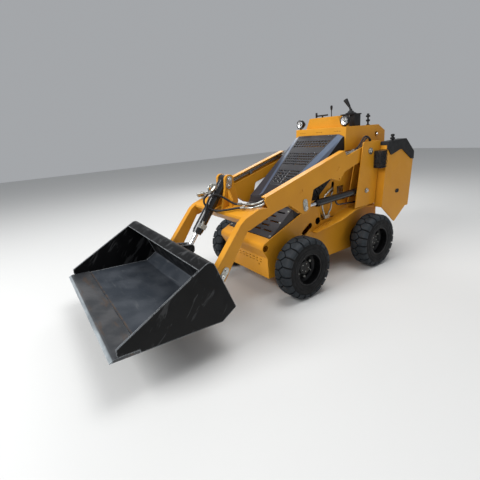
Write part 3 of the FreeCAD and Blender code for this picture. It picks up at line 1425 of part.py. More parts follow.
def build_guard_box():
    """Black mesh box in the corner between the left tower and its wing."""
    low, high = s.guard_low_z, s.guard_high_z
    outline = [
        (s.guard_front_y, low),
        (wing_front(low), low),
        (wing_front(high), high),
        (s.guard_front_y + 14, high),
    ]
    feature("guard_box", prism(outline, s.tower_outer_x, s.wing_x - s.wing_plate))


def build_platform():
    """Operator platform at the back, a shallow tray on two brackets."""
    half, wall = s.platform_half, s.platform_wall
    front, rear = s.platform_front_y, s.platform_rear_y
    top, low = s.platform_z, s.platform_z - s.platform_depth
    tray = block((-half, front, low), (half, rear, top))
    inside = block((-half + wall, front + wall, low - wall), (half - wall, rear - wall, top - wall))
    shapes = [tray.cut(inside)]
    bracket = [
        (s.frame_rear_y, s.frame_bottom_z + 20),
        (front + 80, low + CUT),
        (front + 80, top - CUT),
        (s.frame_rear_y, top + 40),
    ]
    for _, side in SIDES:
        shapes.append(side_prism(bracket, side, s.platform_bracket_x - 5, 10))
    feature("platform", join(shapes))


def arm_place(along, drop):
    """A point of the side view, along an arm's top flange from its low end and so far below it."""
    return (s.flange_low_y + flange_dy * along + flange_dz * drop,
            s.flange_low_z + flange_dz * along - flange_dy * drop)


def arm_outline(top_drop):
    """Side view of an arm plate; top_drop lowers the top edge for the inner plate."""
    boss = s.arm_boss_radius
    high_y, high_z = s.flange_high_y, s.flange_high_z
    pivot_y, pivot_z = s.pivot_y, s.pivot_z
    pin_y, pin_z, lug = s.lift_pin_y, s.lift_pin_z, s.lug_radius
    return [
        arm_place(0, top_drop),
        arm_place(flange_length, top_drop),
        (high_y + 26, high_z - 46 - top_drop * 0.2, 14),
        (pivot_y - 60, pivot_z + 44 - top_drop * 0.2, 30),
        (pivot_y - 10, pivot_z + boss, 40),
        (pivot_y + boss, pivot_z + boss, boss),
        (pivot_y + boss, pivot_z - boss, boss),
        (pivot_y - 20, pivot_z - boss, 30),
        (high_y + 4, high_z - 164, 14),
        (high_y - 58, high_z - 232, 8),
        (high_y - 163, high_z - 197, 8),
        (pin_y + 85, pin_z + 123, 14),
        (pin_y + 62, pin_z + 45, 12),
        (pin_y + lug, pin_z - lug + 8, lug),
        (pin_y - lug * 0.6, pin_z - lug - 4, lug),
        (pin_y - 161, pin_z + 49, 8),
        (pin_y - 285, pin_z + 26),
        (pin_y - 353, pin_z + 66),
        (s.flange_low_y - 12, s.flange_low_z - 21 - top_drop * 0.5),
    ]


def leg_outline():
    """Side view of the arm's leg, from the front of the arm down to the bucket pin."""
    return [
        (s.flange_low_y - 62, s.flange_low_z - 69),
        (s.leg_knee_y, s.leg_knee_z, 10),
        (s.leg_bend_y, s.leg_bend_z, 10),
        (s.bucket_pin_y - 41, s.bucket_pin_z + 53),
        (s.bucket_pin_y + 15, s.bucket_pin_z - 39),
        (s.bucket_pin_y + 91, s.bucket_pin_z + 72),
        (s.leg_knee_y + 3, s.leg_knee_z - 84, 6),
        (s.leg_knee_y + 20, s.leg_knee_z - 84, 6),
        (s.lift_pin_y - 285, s.lift_pin_z + 26),
        (s.lift_pin_y - 353, s.lift_pin_z + 66),
    ]


def build_arms():
    """Boom arms: outer plate with a bent top flange, inner plate, pivot boss and dog-leg."""
    t = s.arm_plate
    width = s.arm_width
    flange = bent_sheet([arm_place(flange_length, 0), arm_place(0, 0)], s.arm_flange)
    slope = math.degrees(math.atan2(flange_dz, flange_dy))
    for side_name, side in SIDES:
        arm = new_body("arm_" + side_name)
        outer = low_side(side, s.arm_outer_x - t, t)
        inner = low_side(side, arm_inner_x, t)
        low = low_side(side, arm_inner_x, width)
        side_pad(arm, "top_flange_" + side_name, flange, low, width)
        side_pad(arm, "outer_plate_" + side_name, arm_outline(0), outer, t)
        side_pad(arm, "leg_" + side_name, leg_outline(), low, width)
        side_pad(arm, "inner_plate_" + side_name, arm_outline(s.pipe_slot), inner, t)
        boss = s.arm_boss_radius - 8
        side_boss(arm, "pivot_boss_" + side_name, s.pivot_y, s.pivot_z, boss, low, width)
        through = width + 2 * CUT
        for name, y, z, diameter in (
            ("pivot_bore_", s.pivot_y, s.pivot_z, s.pivot_pin_diameter),
            ("bucket_bore_", s.bucket_pin_y, s.bucket_pin_z, s.bucket_pin_diameter),
        ):
            side_bore(arm, name + side_name, y, z, diameter / 2 + s.run_clearance, low - CUT, through)
        mark_x = low_side(side, s.arm_outer_x - s.plug_depth, s.plug_depth + CUT)
        for k, (y, z) in enumerate((
            (s.flange_high_y - 81, s.flange_high_z - 134),
            (s.lift_pin_y - 46, s.lift_pin_z + 126),
        )):
            mark = slot_outline(y, z, s.plug_length, s.plug_width, slope + 18)
            side_pocket(arm, "mark_%d_%s" % (k, side_name), mark, mark_x, s.plug_depth + CUT)
        lug = (s.flange_high_y - 58, s.flange_high_z - 214)
        side_bore(arm, "lug_hole_" + side_name, lug[0], lug[1], s.lug_hole / 2, outer - CUT, t + 2 * CUT)


def build_crossmember():
    """Crossmember between the arms with the two ribbed ears of the tilt cylinder."""
    low_y, low_z = s.flange_low_y, s.flange_low_z
    section = [
        (s.leg_knee_y - 4, s.leg_knee_z - 17),
        (s.leg_knee_y, s.leg_knee_z),
        (low_y - 62, low_z - 69),
        (low_y - 36, low_z - 130),
        (low_y - 70, low_z - 168),
        (s.leg_knee_y + 40, s.leg_knee_z - 66),
    ]
    beam = new_body("crossmember")
    side_pad(beam, "beam", section, -arm_inner_x, 2 * arm_inner_x)
    radius = s.ear_radius
    ear = [
        (s.ear_pin_y - radius, s.ear_pin_z + radius, radius),
        (s.ear_pin_y - radius - 6, s.ear_pin_z - 60, 60),
        (s.leg_knee_y + 14, s.leg_knee_z - 10),
        (low_y - 34, low_z - 100),
        (low_y - 12, low_z - 60, 20),
        (s.ear_pin_y + radius + 4, s.ear_pin_z - 20, 40),
        (s.ear_pin_y + radius, s.ear_pin_z + radius, radius),
    ]
    outer = s.ear_inner_x + s.ear_plate
    reach = s.ear_rib_reach
    for side_name, side in SIDES:
        low = low_side(side, s.ear_inner_x, s.ear_plate)
        side_pad(beam, "ear_" + side_name, ear, low, s.ear_plate)
        side_bore(beam, "ear_bore_" + side_name, s.ear_pin_y, s.ear_pin_z, s.tilt_pin_diameter / 2, low - CUT,
                  s.ear_plate + 2 * CUT)
        rib = [
            (side * (outer - CUT), s.ear_pin_z - 72),
            (side * (outer + 8), s.ear_pin_z - 79),
            (side * (outer + reach), s.leg_knee_z + 70),
            (side * (outer + reach), s.leg_knee_z + 10),
            (side * (outer - CUT), s.leg_knee_z + 10),
        ]
        sketch = plane_sketch(beam, "XZ_Plane", "rib_sketch_" + side_name, -s.ear_pin_y + 8)
        sketch.addGeometry(outline_edges(rib), False)
        pad(beam, "rib_" + side_name, sketch, s.ear_rib)


def build_boom_pins():
    """Pins that the boom holds in its ears, and the keepers and bolt heads over its pins."""
    span = 2 * (s.ear_inner_x + s.ear_plate)
    pin = s.tilt_pin_diameter
    shaft = tube_x(s.ear_pin_y, s.ear_pin_z, -span / 2, span, pin / 2)
    ear_keeper = slot_outline(s.ear_pin_y - 5, s.ear_pin_z - 22, s.keeper_length, s.keeper_width, 78)
    parts = [shaft]
    keepers = (
        (s.lift_pin_y - 4, s.lift_pin_z + 22, 95, (s.lift_pin_y, s.lift_pin_z)),
        (s.bucket_pin_y + 13, s.bucket_pin_z + 16, 52, (s.bucket_pin_y, s.bucket_pin_z)),
    )
    shapes = []
    for _, side in SIDES:
        parts.append(side_prism(ear_keeper, side, span / 2, s.keeper_plate))
        head_x = low_side(side, span / 2 + s.keeper_plate, s.keeper_head)
        parts.append(tube_x(s.ear_pin_y, s.ear_pin_z, head_x, s.keeper_head, pin * 0.6))
        for y, z, angle, centre in keepers:
            plate = slot_outline(y, z, s.keeper_length, s.keeper_width, angle)
            keeper = side_prism(plate, side, s.arm_outer_x, s.keeper_plate)
            head_x = low_side(side, s.arm_outer_x + s.keeper_plate, s.keeper_head)
            head = tube_x(centre[0], centre[1], head_x, s.keeper_head, pin * 0.6)
            shapes.append(join([keeper, head]))
    shapes.append(join(parts))
    feature("boom_pins", Part.makeCompound(shapes))


# Routes of the hoses to the tilt cylinder: share of the way from the boom's low end to the port, and offset
TILT_ROD_HOSE = (
    (0.000, 165.0, -85.0, -58.0),
    (0.077, 145.0, -63.0, -44.8),
    (0.154, 126.0, -49.0, -25.6),
    (0.231, 107.0, -43.0, 5.6),
    (0.308, 88.0, -45.0, 44.8),
    (0.385, 70.0, -53.0, 84.0),
    (0.462, 58.0, -61.9, 111.2),
    (0.538, 54.0, -68.2, 117.2),
    (0.615, 56.0, -67.2, 109.4),
    (0.692, 57.0, -57.2, 95.6),
    (0.769, 57.0, -42.2, 80.8),
    (0.846, 56.0, -26.2, 68.0),
    (0.923, 54.0, -11.2, 56.2),
    (1.000, 52.0, 2.8, 45.4),
)
TILT_BASE_HOSE = (
    (0.000, 235.0, -112.0, -69.0),
    (0.091, 211.0, -105.9, -74.3),
    (0.182, 176.0, -117.8, -85.5),
    (0.273, 138.0, -136.7, -97.8),
    (0.364, 100.0, -152.6, -106.1),
    (0.455, 69.0, -166.5, -107.4),
    (0.545, 48.0, -177.5, -98.6),
    (0.636, 32.0, -183.4, -80.9),
    (0.727, 22.0, -180.3, -59.2),
    (0.818, 18.0, -164.2, -38.4),
    (0.909, 19.0, -137.1, -23.7),
    (1.000, 21.0, -106.0, -15.0),
)
# Steel tubes from the left arm to those hoses: offset from the low end of the arm's flange
ROD_TUBE = (
    (341, -33, -33),
    (318, -68, -42),
    (262, -76, -49),
    (165, -85, -58),
)
BASE_TUBE = (
    (356, -29, -49),
    (342, -78, -58),
    (310, -95, -63),
    (235, -112, -69),
)
# Inner hose over the boom pivot, in the side view: offset from the pivot
PIVOT_HOSE = (
    (-145, 21),
    (-93, 32),
    (-45, 86),
    (-13, 118),
    (35, 122),
    (69, 88),
    (69, 8),
)
PIVOT_HOSE_GAP = 12  # how far the outer hose runs inside the inner one's curve
FERRULE_LENGTH = 50
PORT_GAP = 1.5  # between a boom hose's end and the ferrule on the tilt cylinder, which swings a little


def port_place(along, forward=0, x=0):
    """A place beside the tilt cylinder: along it from the ear's pin, and forward from its axis."""
    (dy, dz), _ = unit((s.ear_pin_y, s.ear_pin_z), (s.tilt_pin_y, s.tilt_pin_z))
    return (x, s.ear_pin_y + dy * along + dz * forward, s.ear_pin_z + dz * along - dy * forward)


def tilt_routes():
    """Routes of the hoses to the tilt cylinder's lower and upper port."""
    start = (0, s.flange_low_y, s.flange_low_z)
    return (placed(TILT_ROD_HOSE, start, port_place(s.tilt_port_low)),
            placed(TILT_BASE_HOSE, start, port_place(s.tilt_port_up)))


def pivot_route(side, x, inset):
    """Route of a hose over the boom pivot; the inset brings it inside the first one's curve."""
    top = max(z for _, z in PIVOT_HOSE)
    places = []
    for dy, dz in PIVOT_HOSE[:-1]:
        shrink = 1 - inset / top
        places.append((side * float(x), float(s.pivot_y + dy * shrink), float(s.pivot_z + dz * shrink)))
    dy, dz = PIVOT_HOSE[-1]
    return places + [(side * float(x), float(s.pivot_y + dy * (1 - inset / top)), float(s.pivot_z + dz))]


def back_from(route):
    """Direction out of a hose's first end, along its first run."""
    back = Vector(*route[0]) - Vector(*route[1])
    back.normalize()
    return back


def build_boom_fittings():
    """Steel pipes in the arms' troughs with their clamps, fittings and the boom's hose sockets."""
    pipe = s.pipe_diameter
    low_end = (0, s.flange_low_y, s.flange_low_z)
    width = s.pipe_outer_x - s.pipe_inner_x + 15
    rod_hose, base_hose = tilt_routes()
    lines = (
        (s.pipe_inner_x, s.pipe_inner_drop, 0, ROD_TUBE, rod_hose),
        (s.pipe_outer_x, s.pipe_outer_drop, PIVOT_HOSE_GAP, BASE_TUBE, base_hose),
    )
    shapes = []
    for _, side in SIDES:
        group = []
        for x, drop, inset, tube, tilt_hose in lines:
            start = Vector(side * x, *arm_place(0, drop))
            end = Vector(side * x, *arm_place(flange_length, drop))
            hose_route = pivot_route(side, x, inset)
            mouth = Vector(*hose_route[0])
            back = back_from(hose_route)
            neck = mouth + back * FERRULE_LENGTH
            group += [rod_between(start, end, pipe / 2), rod_between(end, neck, pipe * 0.55)]
            group.append(bar_between(neck + back * 12, neck - back * 2, pipe * 1.3))
            group.append(rod_between(neck, mouth, s.ferrule_diameter / 2))
            if side > 0:
                places = [Vector(*[a + b for a, b in zip(low_end, offset)]) for offset in tube]
                back = back_from(tilt_hose)
                places[-1] = places[-1] + back * 30
                group.append(bent_tube([start] + places, pipe))
                group.append(rod_between(places[-1] + back * 4, places[-1] - back * 30, s.hose_diameter / 2 + 4))
        for share in (0.1, 0.5, 0.9):
            middle = flange_length * share
            under = s.pipe_outer_drop + 11
            corners = [(middle - 13, s.arm_flange), (middle + 13, s.arm_flange), (middle + 13, under), (middle - 13, under)]
            outline = [arm_place(along, drop) for along, drop in corners]
            group.append(side_prism(outline, side, s.pipe_inner_x - 8, width))
        if side < 0:
            group += coupler_pair()
        shapes.append(join(group))
    for _, side in SIDES:
        low_x = low_side(side, s.pipe_inner_x - 8, width)
        _, end_y, end_z = pivot_route(side, s.pipe_inner_x, 0)[-1]
        port = block((low_x, s.pivot_y + 30, end_z - 22), (low_x + width, end_y + 12, end_z))
        shapes.append(port.cut(tube_x(s.pivot_y, s.pivot_z, low_x - CUT, width + 2 * CUT, s.arm_boss_radius - 8)))
    feature("boom_fittings", Part.makeCompound(shapes))


def coupler_pair():
    """Two couplers on a small plate that stands on the right leg, fed by the right arm's pipes."""
    high, knee = leg_outline()[0], leg_outline()[1]
    plate_y = s.flange_low_y - 80

    def leg_top(y):
        return high[1] + (knee[1] - high[1]) * (y - high[0]) / (knee[0] - high[0])

    top = leg_top(plate_y) + 54
    stand = [(plate_y, leg_top(plate_y)), (plate_y - 8, leg_top(plate_y - 8)), (plate_y - 8, top), (plate_y, top)]
    shapes = [side_prism(stand, -1, arm_inner_x + 4, s.arm_width - 4)]
    rows = (
        (s.pipe_inner_x, s.pipe_inner_drop, -6, 64),
        (s.pipe_outer_x, s.pipe_outer_drop, 7, 44),
    )
    for pipe_x, drop, aside, reach in rows:
        x = pipe_x + aside
        start_y, start_z = arm_place(0, drop)
        middle = (-x, plate_y - 4, start_z - 12)
        end = (-x, plate_y - reach, start_z - 14)
        collar = (-x, plate_y - reach * 0.4, start_z - 13)
        collar_end = (-x, plate_y - reach * 0.7, start_z - 13)
        shapes.append(rod_between((-pipe_x, start_y + 2, start_z), middle, s.pipe_diameter / 2))
        shapes += [rod_between(middle, end, 11), rod_between(collar, collar_end, 12.5)]
    return shapes


def build_hoses():
    """Braided hoses to the tilt cylinder, and the hoses that pass over the boom pivot."""
    rod_hose, base_hose = tilt_routes()
    hose("tilt_hose_rod", rod_hose, s.hose_diameter)
    hose("tilt_hose_base", base_hose, s.hose_diameter)
    for side_name, side in SIDES:
        inner = pivot_route(side, s.pipe_inner_x, 0)
        outer = pivot_route(side, s.pipe_outer_x, PIVOT_HOSE_GAP)
        hose("pivot_hose_%s_inner" % side_name, inner, s.pivot_hose_diameter)
        hose("pivot_hose_%s_outer" % side_name, outer, s.pivot_hose_diameter)


def build_lift_cylinders():
    """Lift cylinders: barrel with its base eye and steel line, and rod with its eye."""
    base = (s.lift_base_y, s.lift_base_z)
    (dy, dz), reach = unit(base, (s.lift_pin_y, s.lift_pin_z))
    width = s.eye_width
    r = s.lift_barrel_diameter / 2
    length = s.lift_barrel_length
    for side_name, side in SIDES:
        x = side * s.lift_x

        def at(distance, below=0):
            return (x, base[0] + dy * distance - dz * below, base[1] + dz * distance + dy * below)

        low_x = x - width / 2
        barrel = rod_between(at(s.eye_radius - 4), at(length), r)
        gland = rod_between(at(length), at(length + s.lift_gland), r - 3)
        eye = tube_x(base[0], base[1], low_x, width, s.eye_radius)
        line = bent_tube([
            at(334, r - 6),
            at(336, r + 14),
            at(310, r + 36),
            at(246, r + 41),
            at(176, r + 48),
            at(104, r + 58),
            at(60, r + 50),
            at(38, r + 22),
            at(40, r - 6),
        ], s.hard_line_diameter)
        bore = tube_x(base[0], base[1], low_x - CUT, width + 2 * CUT, s.lift_pin_diameter / 2 + s.run_clearance)
        hollow = rod_between(at(60), at(length + 30), s.lift_rod_diameter / 2 + s.run_clearance)
        feature("lift_barrel_" + side_name, join([barrel, gland, eye, line]).cut([bore, hollow]))
        rod = rod_between(at(reach), at(120), s.lift_rod_diameter / 2)
        ring = tube_x(s.lift_pin_y, s.lift_pin_z, low_x, width, s.eye_radius)
        feature("lift_rod_" + side_name, join([rod, ring]))


def build_tilt_cylinder():
    """Tilt cylinder between the ears and the bucket, with its ports and fittings."""
    top = (s.ear_pin_y, s.ear_pin_z)
    (dy, dz), reach = unit(top, (s.tilt_pin_y, s.tilt_pin_z))

    def at(distance, forward=0, x=0):
        return (x, top[0] + dy * distance + dz * forward, top[1] + dz * distance - dy * forward)

    width = 2 * (s.ear_inner_x - s.side_clearance)
    r = s.tilt_barrel_diameter / 2
    length = s.tilt_barrel_length
    barrel = rod_between(at(24), at(length), r)
    gland = rod_between(at(length), at(length + 16), r - 4)
    eye = tube_x(top[0], top[1], -width / 2, width, s.ear_radius - 4)
    bore = tube_x(top[0], top[1], -width / 2 - CUT, width + 2 * CUT, s.tilt_pin_diameter / 2 + s.run_clearance)
    hollow = rod_between(at(70), at(length + 30), s.tilt_rod_diameter / 2 + s.run_clearance)
    feature("tilt_barrel", join([barrel, gland, eye]).cut([bore, hollow]))
    rod = rod_between(at(reach), at(130), s.tilt_rod_diameter / 2)
    ring = tube_x(s.tilt_pin_y, s.tilt_pin_z, -20, 40, s.ear_radius - 5)
    feature("tilt_rod", join([rod, ring]))

    up, down = s.tilt_port_up, s.tilt_port_low
    skin = rod_between(at(0), at(length + 40), r)
    upper = [at(up - 19, r - 8)[1:], at(up + 19, r - 8)[1:], at(up + 19, r + 15)[1:], at(up - 19, r + 15)[1:]]
    lower = [at(down - 17, -12)[1:], at(down + 17, -12)[1:], at(down + 17, 30)[1:], at(down - 17, 30)[1:]]
    rod_hose, base_hose = tilt_routes()
    rod_on, base_on = [back_from(route[::-1]) for route in (rod_hose, base_hose)]
    rod_start = Vector(*rod_hose[-1]) + rod_on * PORT_GAP
    base_start = Vector(*base_hose[-1]) + base_on * PORT_GAP
    collar = base_start + base_on * 32
    nut = Vector(*at(up + 4, r + 10, 9))
    ferrule = s.ferrule_diameter / 2
    elbow = [
        at(up - 6, r + 7, -22),
        at(up - 8, r + 29, -22),
        at(up + 14, r + 38, -22),
        at(up + 40, r + 28, -22),
        at(up + 54, r - 12, -22),
    ]
    fittings = [
        prism(upper, -34, 18),
        prism(lower, -22, 66),
        rod_between(base_start, collar, ferrule),
        bar_between(collar, nut, s.ferrule_diameter * 1.35),
        rod_between(rod_start, rod_start + rod_on * 48, ferrule),
        bent_tube(elbow, s.pipe_diameter),
    ]
    feature("tilt_fittings", join(fittings).cut(skin))


def bucket_place():
    """The bucket is drawn level round its pin, then curled back as it stands at rest."""
    return Placement(Vector(0, s.bucket_pin_y, s.bucket_pin_z), Rotation(Vector(1, 0, 0), -s.bucket_curl))


def place_bucket(body):
    """Hangs a piece that is drawn in the bucket's own frame on the bucket pin."""
    body.Placement = bucket_place()
    body.setExpression("Placement.Base.y", s.bucket_pin_y.formula)
    body.setExpression("Placement.Base.z", s.bucket_pin_z.formula)


def bucket_corner():
    """Where the rounding of the bucket's top corner ends on the back plate and on the side plate's slope."""
    low = (s.bucket_back_y, s.bucket_back_z)
    peak = (s.bucket_peak_y, s.bucket_peak_z)
    nose = (s.bucket_nose_y, s.bucket_nose_high)
    (ay, az), _ = unit(peak, low)
    (by, bz), _ = unit(peak, nose)
    reach = s.bucket_peak_radius / math.tan(math.acos(ay * by + az * bz) / 2)
    return (peak[0] + ay * reach, peak[1] + az * reach), (by, bz), reach


def build_bucket():
    """Bucket: floor, back and rolled top edge in one bent sheet, side plates, and the cutting edge."""
    floor_z = s.bucket_floor_z
    peak = (s.bucket_peak_y, s.bucket_peak_z)
    _, (by, bz), reach = bucket_corner()
    run = reach + s.lip_length
    edge_rear = s.bucket_tip_y + s.edge_depth - 10
    shell_line = [
        (edge_rear, floor_z),
        (s.bucket_heel_y, floor_z, 16),
        (s.bucket_back_y, s.bucket_back_z, 16),
        peak + (s.bucket_peak_radius,),
        (peak[0] + by * run, peak[1] + bz * run),
    ]
    half = s.bucket_half
    bucket = new_body("bucket_shell")
    side_pad(bucket, "shell", bent_sheet(shell_line, s.bucket_sheet), -half, 2 * half)
    side_outline = [
        (s.bucket_nose_y, s.bucket_nose_low),
        (s.bucket_nose_y, s.bucket_nose_high, 4),
        peak + (s.bucket_peak_radius,),
        (s.bucket_back_y, s.bucket_back_z, 10),
        (s.bucket_heel_y, floor_z, 16),
        (edge_rear, floor_z),
        (edge_rear, floor_z + s.edge_plate),
        (s.bucket_nose_y + 10, floor_z + s.edge_plate),
    ]
    for side_name, side in SIDES:
        low_x = low_side(side, half - s.bucket_side, s.bucket_side)
        side_pad(bucket, "bucket_side_" + side_name, side_outline, low_x, s.bucket_side)
    place_bucket(bucket)

    edge = new_body("cutting_edge")
    tip = s.bucket_tip_y
    wedge = [
        (tip, floor_z),
        (edge_rear, floor_z),
        (edge_rear, floor_z + s.edge_plate),
        (tip + s.edge_bevel, floor_z + s.edge_plate),
        (tip, floor_z + 3),
    ]
    side_pad(edge, "edge_bar", wedge, -half, 2 * half)
    place_bucket(edge)


def back_plate_y(z):
    """Y of the back plate's rear face at a height in the bucket's own frame."""
    low = (s.bucket_back_y, s.bucket_back_z)
    high, _, _ = bucket_corner()
    return low[0] + (high[0] - low[0]) * (z - low[1]) / (high[1] - low[1])


def build_bucket_brackets():
    """Brackets on the bucket's back: a pair by each arm, and a pair for the tilt cylinder."""
    eye = 30
    arm_bracket = [
        (back_plate_y(72), 72),
        (eye, eye, eye),
        (eye, -eye, eye),
        (s.bucket_back_y + 4, s.bucket_back_z + 8),
        (back_plate_y(-60), -60),
    ]
    groups = []
    for _, side in SIDES:
        walls = [
            side_prism(arm_bracket, side, arm_inner_x - 20, 16),
            side_prism(arm_bracket, side, arm_inner_x - 62, 14),
        ]
        start, end = arm_inner_x - 66, s.arm_outer_x - 1
        pin = tube_x(0, 0, low_side(side, start, end - start), end - start, s.bucket_pin_diameter / 2)
        groups.append(join(walls + [pin]))
    c, q = math.cos(math.radians(s.bucket_curl)), math.sin(math.radians(s.bucket_curl))
    dy, dz = s.tilt_pin_y - s.bucket_pin_y, s.tilt_pin_z - s.bucket_pin_z
    ty, tz = dy * c - dz * q, dy * q + dz * c
    tilt_bracket = [
        (back_plate_y(tz + 46), tz + 46),
        (ty + 24, tz + 26, 24),
        (ty + 24, tz - 26, 24),
        (back_plate_y(tz - 70), tz - 70),
    ]
    for _, side in SIDES:
        groups.append(side_prism(tilt_bracket, side, 22, 14))
    place_bucket(feature("bucket_brackets", Part.makeCompound(groups)))


def check_and_write():
    """Checks every object and every sub-part's shape, then writes one file for each sub-part."""
    doc.recompute()
    for item in doc.Objects:
        if "Invalid" in item.State or "Error" in item.State:
            raise RuntimeError("%s is %s" % (item.Label, item.State))
    os.makedirs("parts", exist_ok=True)
    for piece in pieces:
        shape = piece.Shape
        if shape.isNull() or not shape.isValid() or not shape.Solids:
            raise RuntimeError("bad shape in " + piece.Label)
        shape.exportStep("parts/%s.step" % piece.Label)
    print(len(pieces), "sub-parts written")


build_wheels()
build_wheel_motors()
build_chassis()
build_fenders()
build_towers()
build_tower_pins()
build_wings()
build_pads()
build_pad_knob()
build_console()
build_lamps()
build_controls()
build_hood()
build_front_cover()
build_bay()
build_frame_fittings()
build_guard_box()
build_platform()
build_arms()
build_crossmember()
build_boom_pins()
build_boom_fittings()
build_hoses()
build_lift_cylinders()
build_tilt_cylinder()
build_bucket()
build_bucket_brackets()
check_and_write()
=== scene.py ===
import bpy
import bmesh
import json
import math
from mathutils import Matrix, Vector


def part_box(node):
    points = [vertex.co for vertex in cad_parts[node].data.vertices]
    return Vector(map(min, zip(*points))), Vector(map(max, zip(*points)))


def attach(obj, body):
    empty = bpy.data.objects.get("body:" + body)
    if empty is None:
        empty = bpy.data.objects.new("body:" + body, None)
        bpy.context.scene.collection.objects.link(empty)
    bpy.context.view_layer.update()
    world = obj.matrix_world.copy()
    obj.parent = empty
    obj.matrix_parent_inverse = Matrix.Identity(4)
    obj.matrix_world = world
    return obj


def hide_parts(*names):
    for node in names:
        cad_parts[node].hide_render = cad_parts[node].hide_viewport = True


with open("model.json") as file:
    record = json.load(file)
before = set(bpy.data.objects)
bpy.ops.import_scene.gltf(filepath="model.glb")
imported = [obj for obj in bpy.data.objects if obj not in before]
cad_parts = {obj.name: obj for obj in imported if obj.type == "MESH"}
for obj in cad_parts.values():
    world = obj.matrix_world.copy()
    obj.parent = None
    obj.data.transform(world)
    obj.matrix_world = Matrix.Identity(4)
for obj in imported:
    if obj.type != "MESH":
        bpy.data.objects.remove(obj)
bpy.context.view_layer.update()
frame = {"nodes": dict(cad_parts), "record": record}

# A compact stand-on skid steer loader: finish, tread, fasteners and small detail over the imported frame.
# Metres; the front points along -Y, the machine's left side along +X, and the wheels stand on Z = 0.

SIDES = (("left", 1), ("right", -1))

# Camera: place in metres, lens and sensor in millimetres, and the picture's side and centre in pixels
CAMERA_PLACE = Vector((1.9874, -1.5740, 1.1863))
CAMERA_YAW = math.radians(-55.75)
CAMERA_PITCH = math.radians(14.18)
CAMERA_ROLL = math.radians(-4.15)
CAMERA_LENS = 24.03
CAMERA_SENSOR = 36
IMAGE_SIDE = 480
PRINCIPAL_POINT = (241.3, 216.0)


def build_camera():
    """Camera at the photograph's viewpoint."""
    yaw, pitch, roll = CAMERA_YAW, CAMERA_PITCH, CAMERA_ROLL
    forward = Vector((math.sin(yaw) * math.cos(pitch), math.cos(yaw) * math.cos(pitch), -math.sin(pitch)))
    level_right = Vector((math.cos(yaw), -math.sin(yaw), 0))
    level_up = level_right.cross(forward)
    right = math.cos(roll) * level_right + math.sin(roll) * level_up
    up = -math.sin(roll) * level_right + math.cos(roll) * level_up
    data = bpy.data.cameras.new("camera")
    data.lens = CAMERA_LENS
    data.sensor_width = CAMERA_SENSOR
    data.shift_x = (IMAGE_SIDE / 2 - PRINCIPAL_POINT[0]) / IMAGE_SIDE
    data.shift_y = (PRINCIPAL_POINT[1] - IMAGE_SIDE / 2) / IMAGE_SIDE
    camera = bpy.data.objects.new("camera", data)
    axes = Matrix((right, up, -forward)).transposed().to_4x4()
    camera.matrix_world = Matrix.Translation(CAMERA_PLACE) @ axes
    bpy.context.scene.collection.objects.link(camera)
    bpy.context.scene.camera = camera


# Studio: each light's name, place, target, size in metres and power in watts, then surround and floor
LIGHTS = (
    ("key", (-0.6, -5.4, 4.2), (0, 0, 0.5), 3.0, 350),
    ("top", (0.6, 0.4, 5.4), (0, 0, 0.5), 3.0, 150),
    ("side", (5.0, 1.2, 2.4), (0, 0.2, 0.6), 2.6, 12),
    ("back", (-3.4, 2.8, 3.2), (0, 0, 0.7), 2.6, 60),
)
SURROUND_COLOUR = (0.93, 0.96, 1, 1)
SURROUND_STRENGTH = 0.4
FLOOR_REACH = 14
FLOOR_COLOUR = (0.66, 0.66, 0.65)


def area_light(name, place, target, size, power):
    """A soft square light aimed at a point."""
    data = bpy.data.lights.new(name, "AREA")
    data.shape = "SQUARE"
    data.size = size
    data.energy = power
    light = bpy.data.objects.new(name, data)
    aim = (Vector(target) - Vector(place)).to_track_quat("-Z", "Y")
    light.matrix_world = Matrix.Translation(Vector(place)) @ aim.to_matrix().to_4x4()
    bpy.context.scene.collection.objects.link(light)


def build_studio():
    """Pale floor, even surround and soft lights."""
    scene = bpy.context.scene
    scene.view_settings.view_transform = "Standard"
    scene.view_settings.look = "None"
    world = bpy.data.worlds.new("surround")
    world.use_nodes = True
    background = world.node_tree.nodes["Background"]
    background.inputs["Color"].default_value = SURROUND_COLOUR
    background.inputs["Strength"].default_value = SURROUND_STRENGTH
    scene.world = world
    for light in LIGHTS:
        area_light(*light)
    mesh = bpy.data.meshes.new("floor")
    corners = [(x * FLOOR_REACH, y * FLOOR_REACH, 0) for x, y in ((-1, -1), (1, -1), (1, 1), (-1, 1))]
    mesh.from_pydata(corners, [], [(0, 1, 2, 3)])
    floor = bpy.data.objects.new("floor", mesh)
    scene.collection.objects.link(floor)
    floor.data.materials.append(plain_material("floor_paper", FLOOR_COLOUR, 0.9))


# Materials: a colour is three numbers, a noise's scale is in waves a metre, and a bump's distance in metres
def plain_material(name, colour, roughness, metallic=0.0, specular=0.3):
    """A material with one principled shader."""
    material = bpy.data.materials.new(name)
    material.use_nodes = True
    shader = material.node_tree.nodes["Principled BSDF"]
    shader.inputs["Base Color"].default_value = (*colour, 1)
    shader.inputs["Roughness"].default_value = roughness
    shader.inputs["Metallic"].default_value = metallic
    if metallic == 0:
        shader.inputs["Specular IOR Level"].default_value = specular
    return material


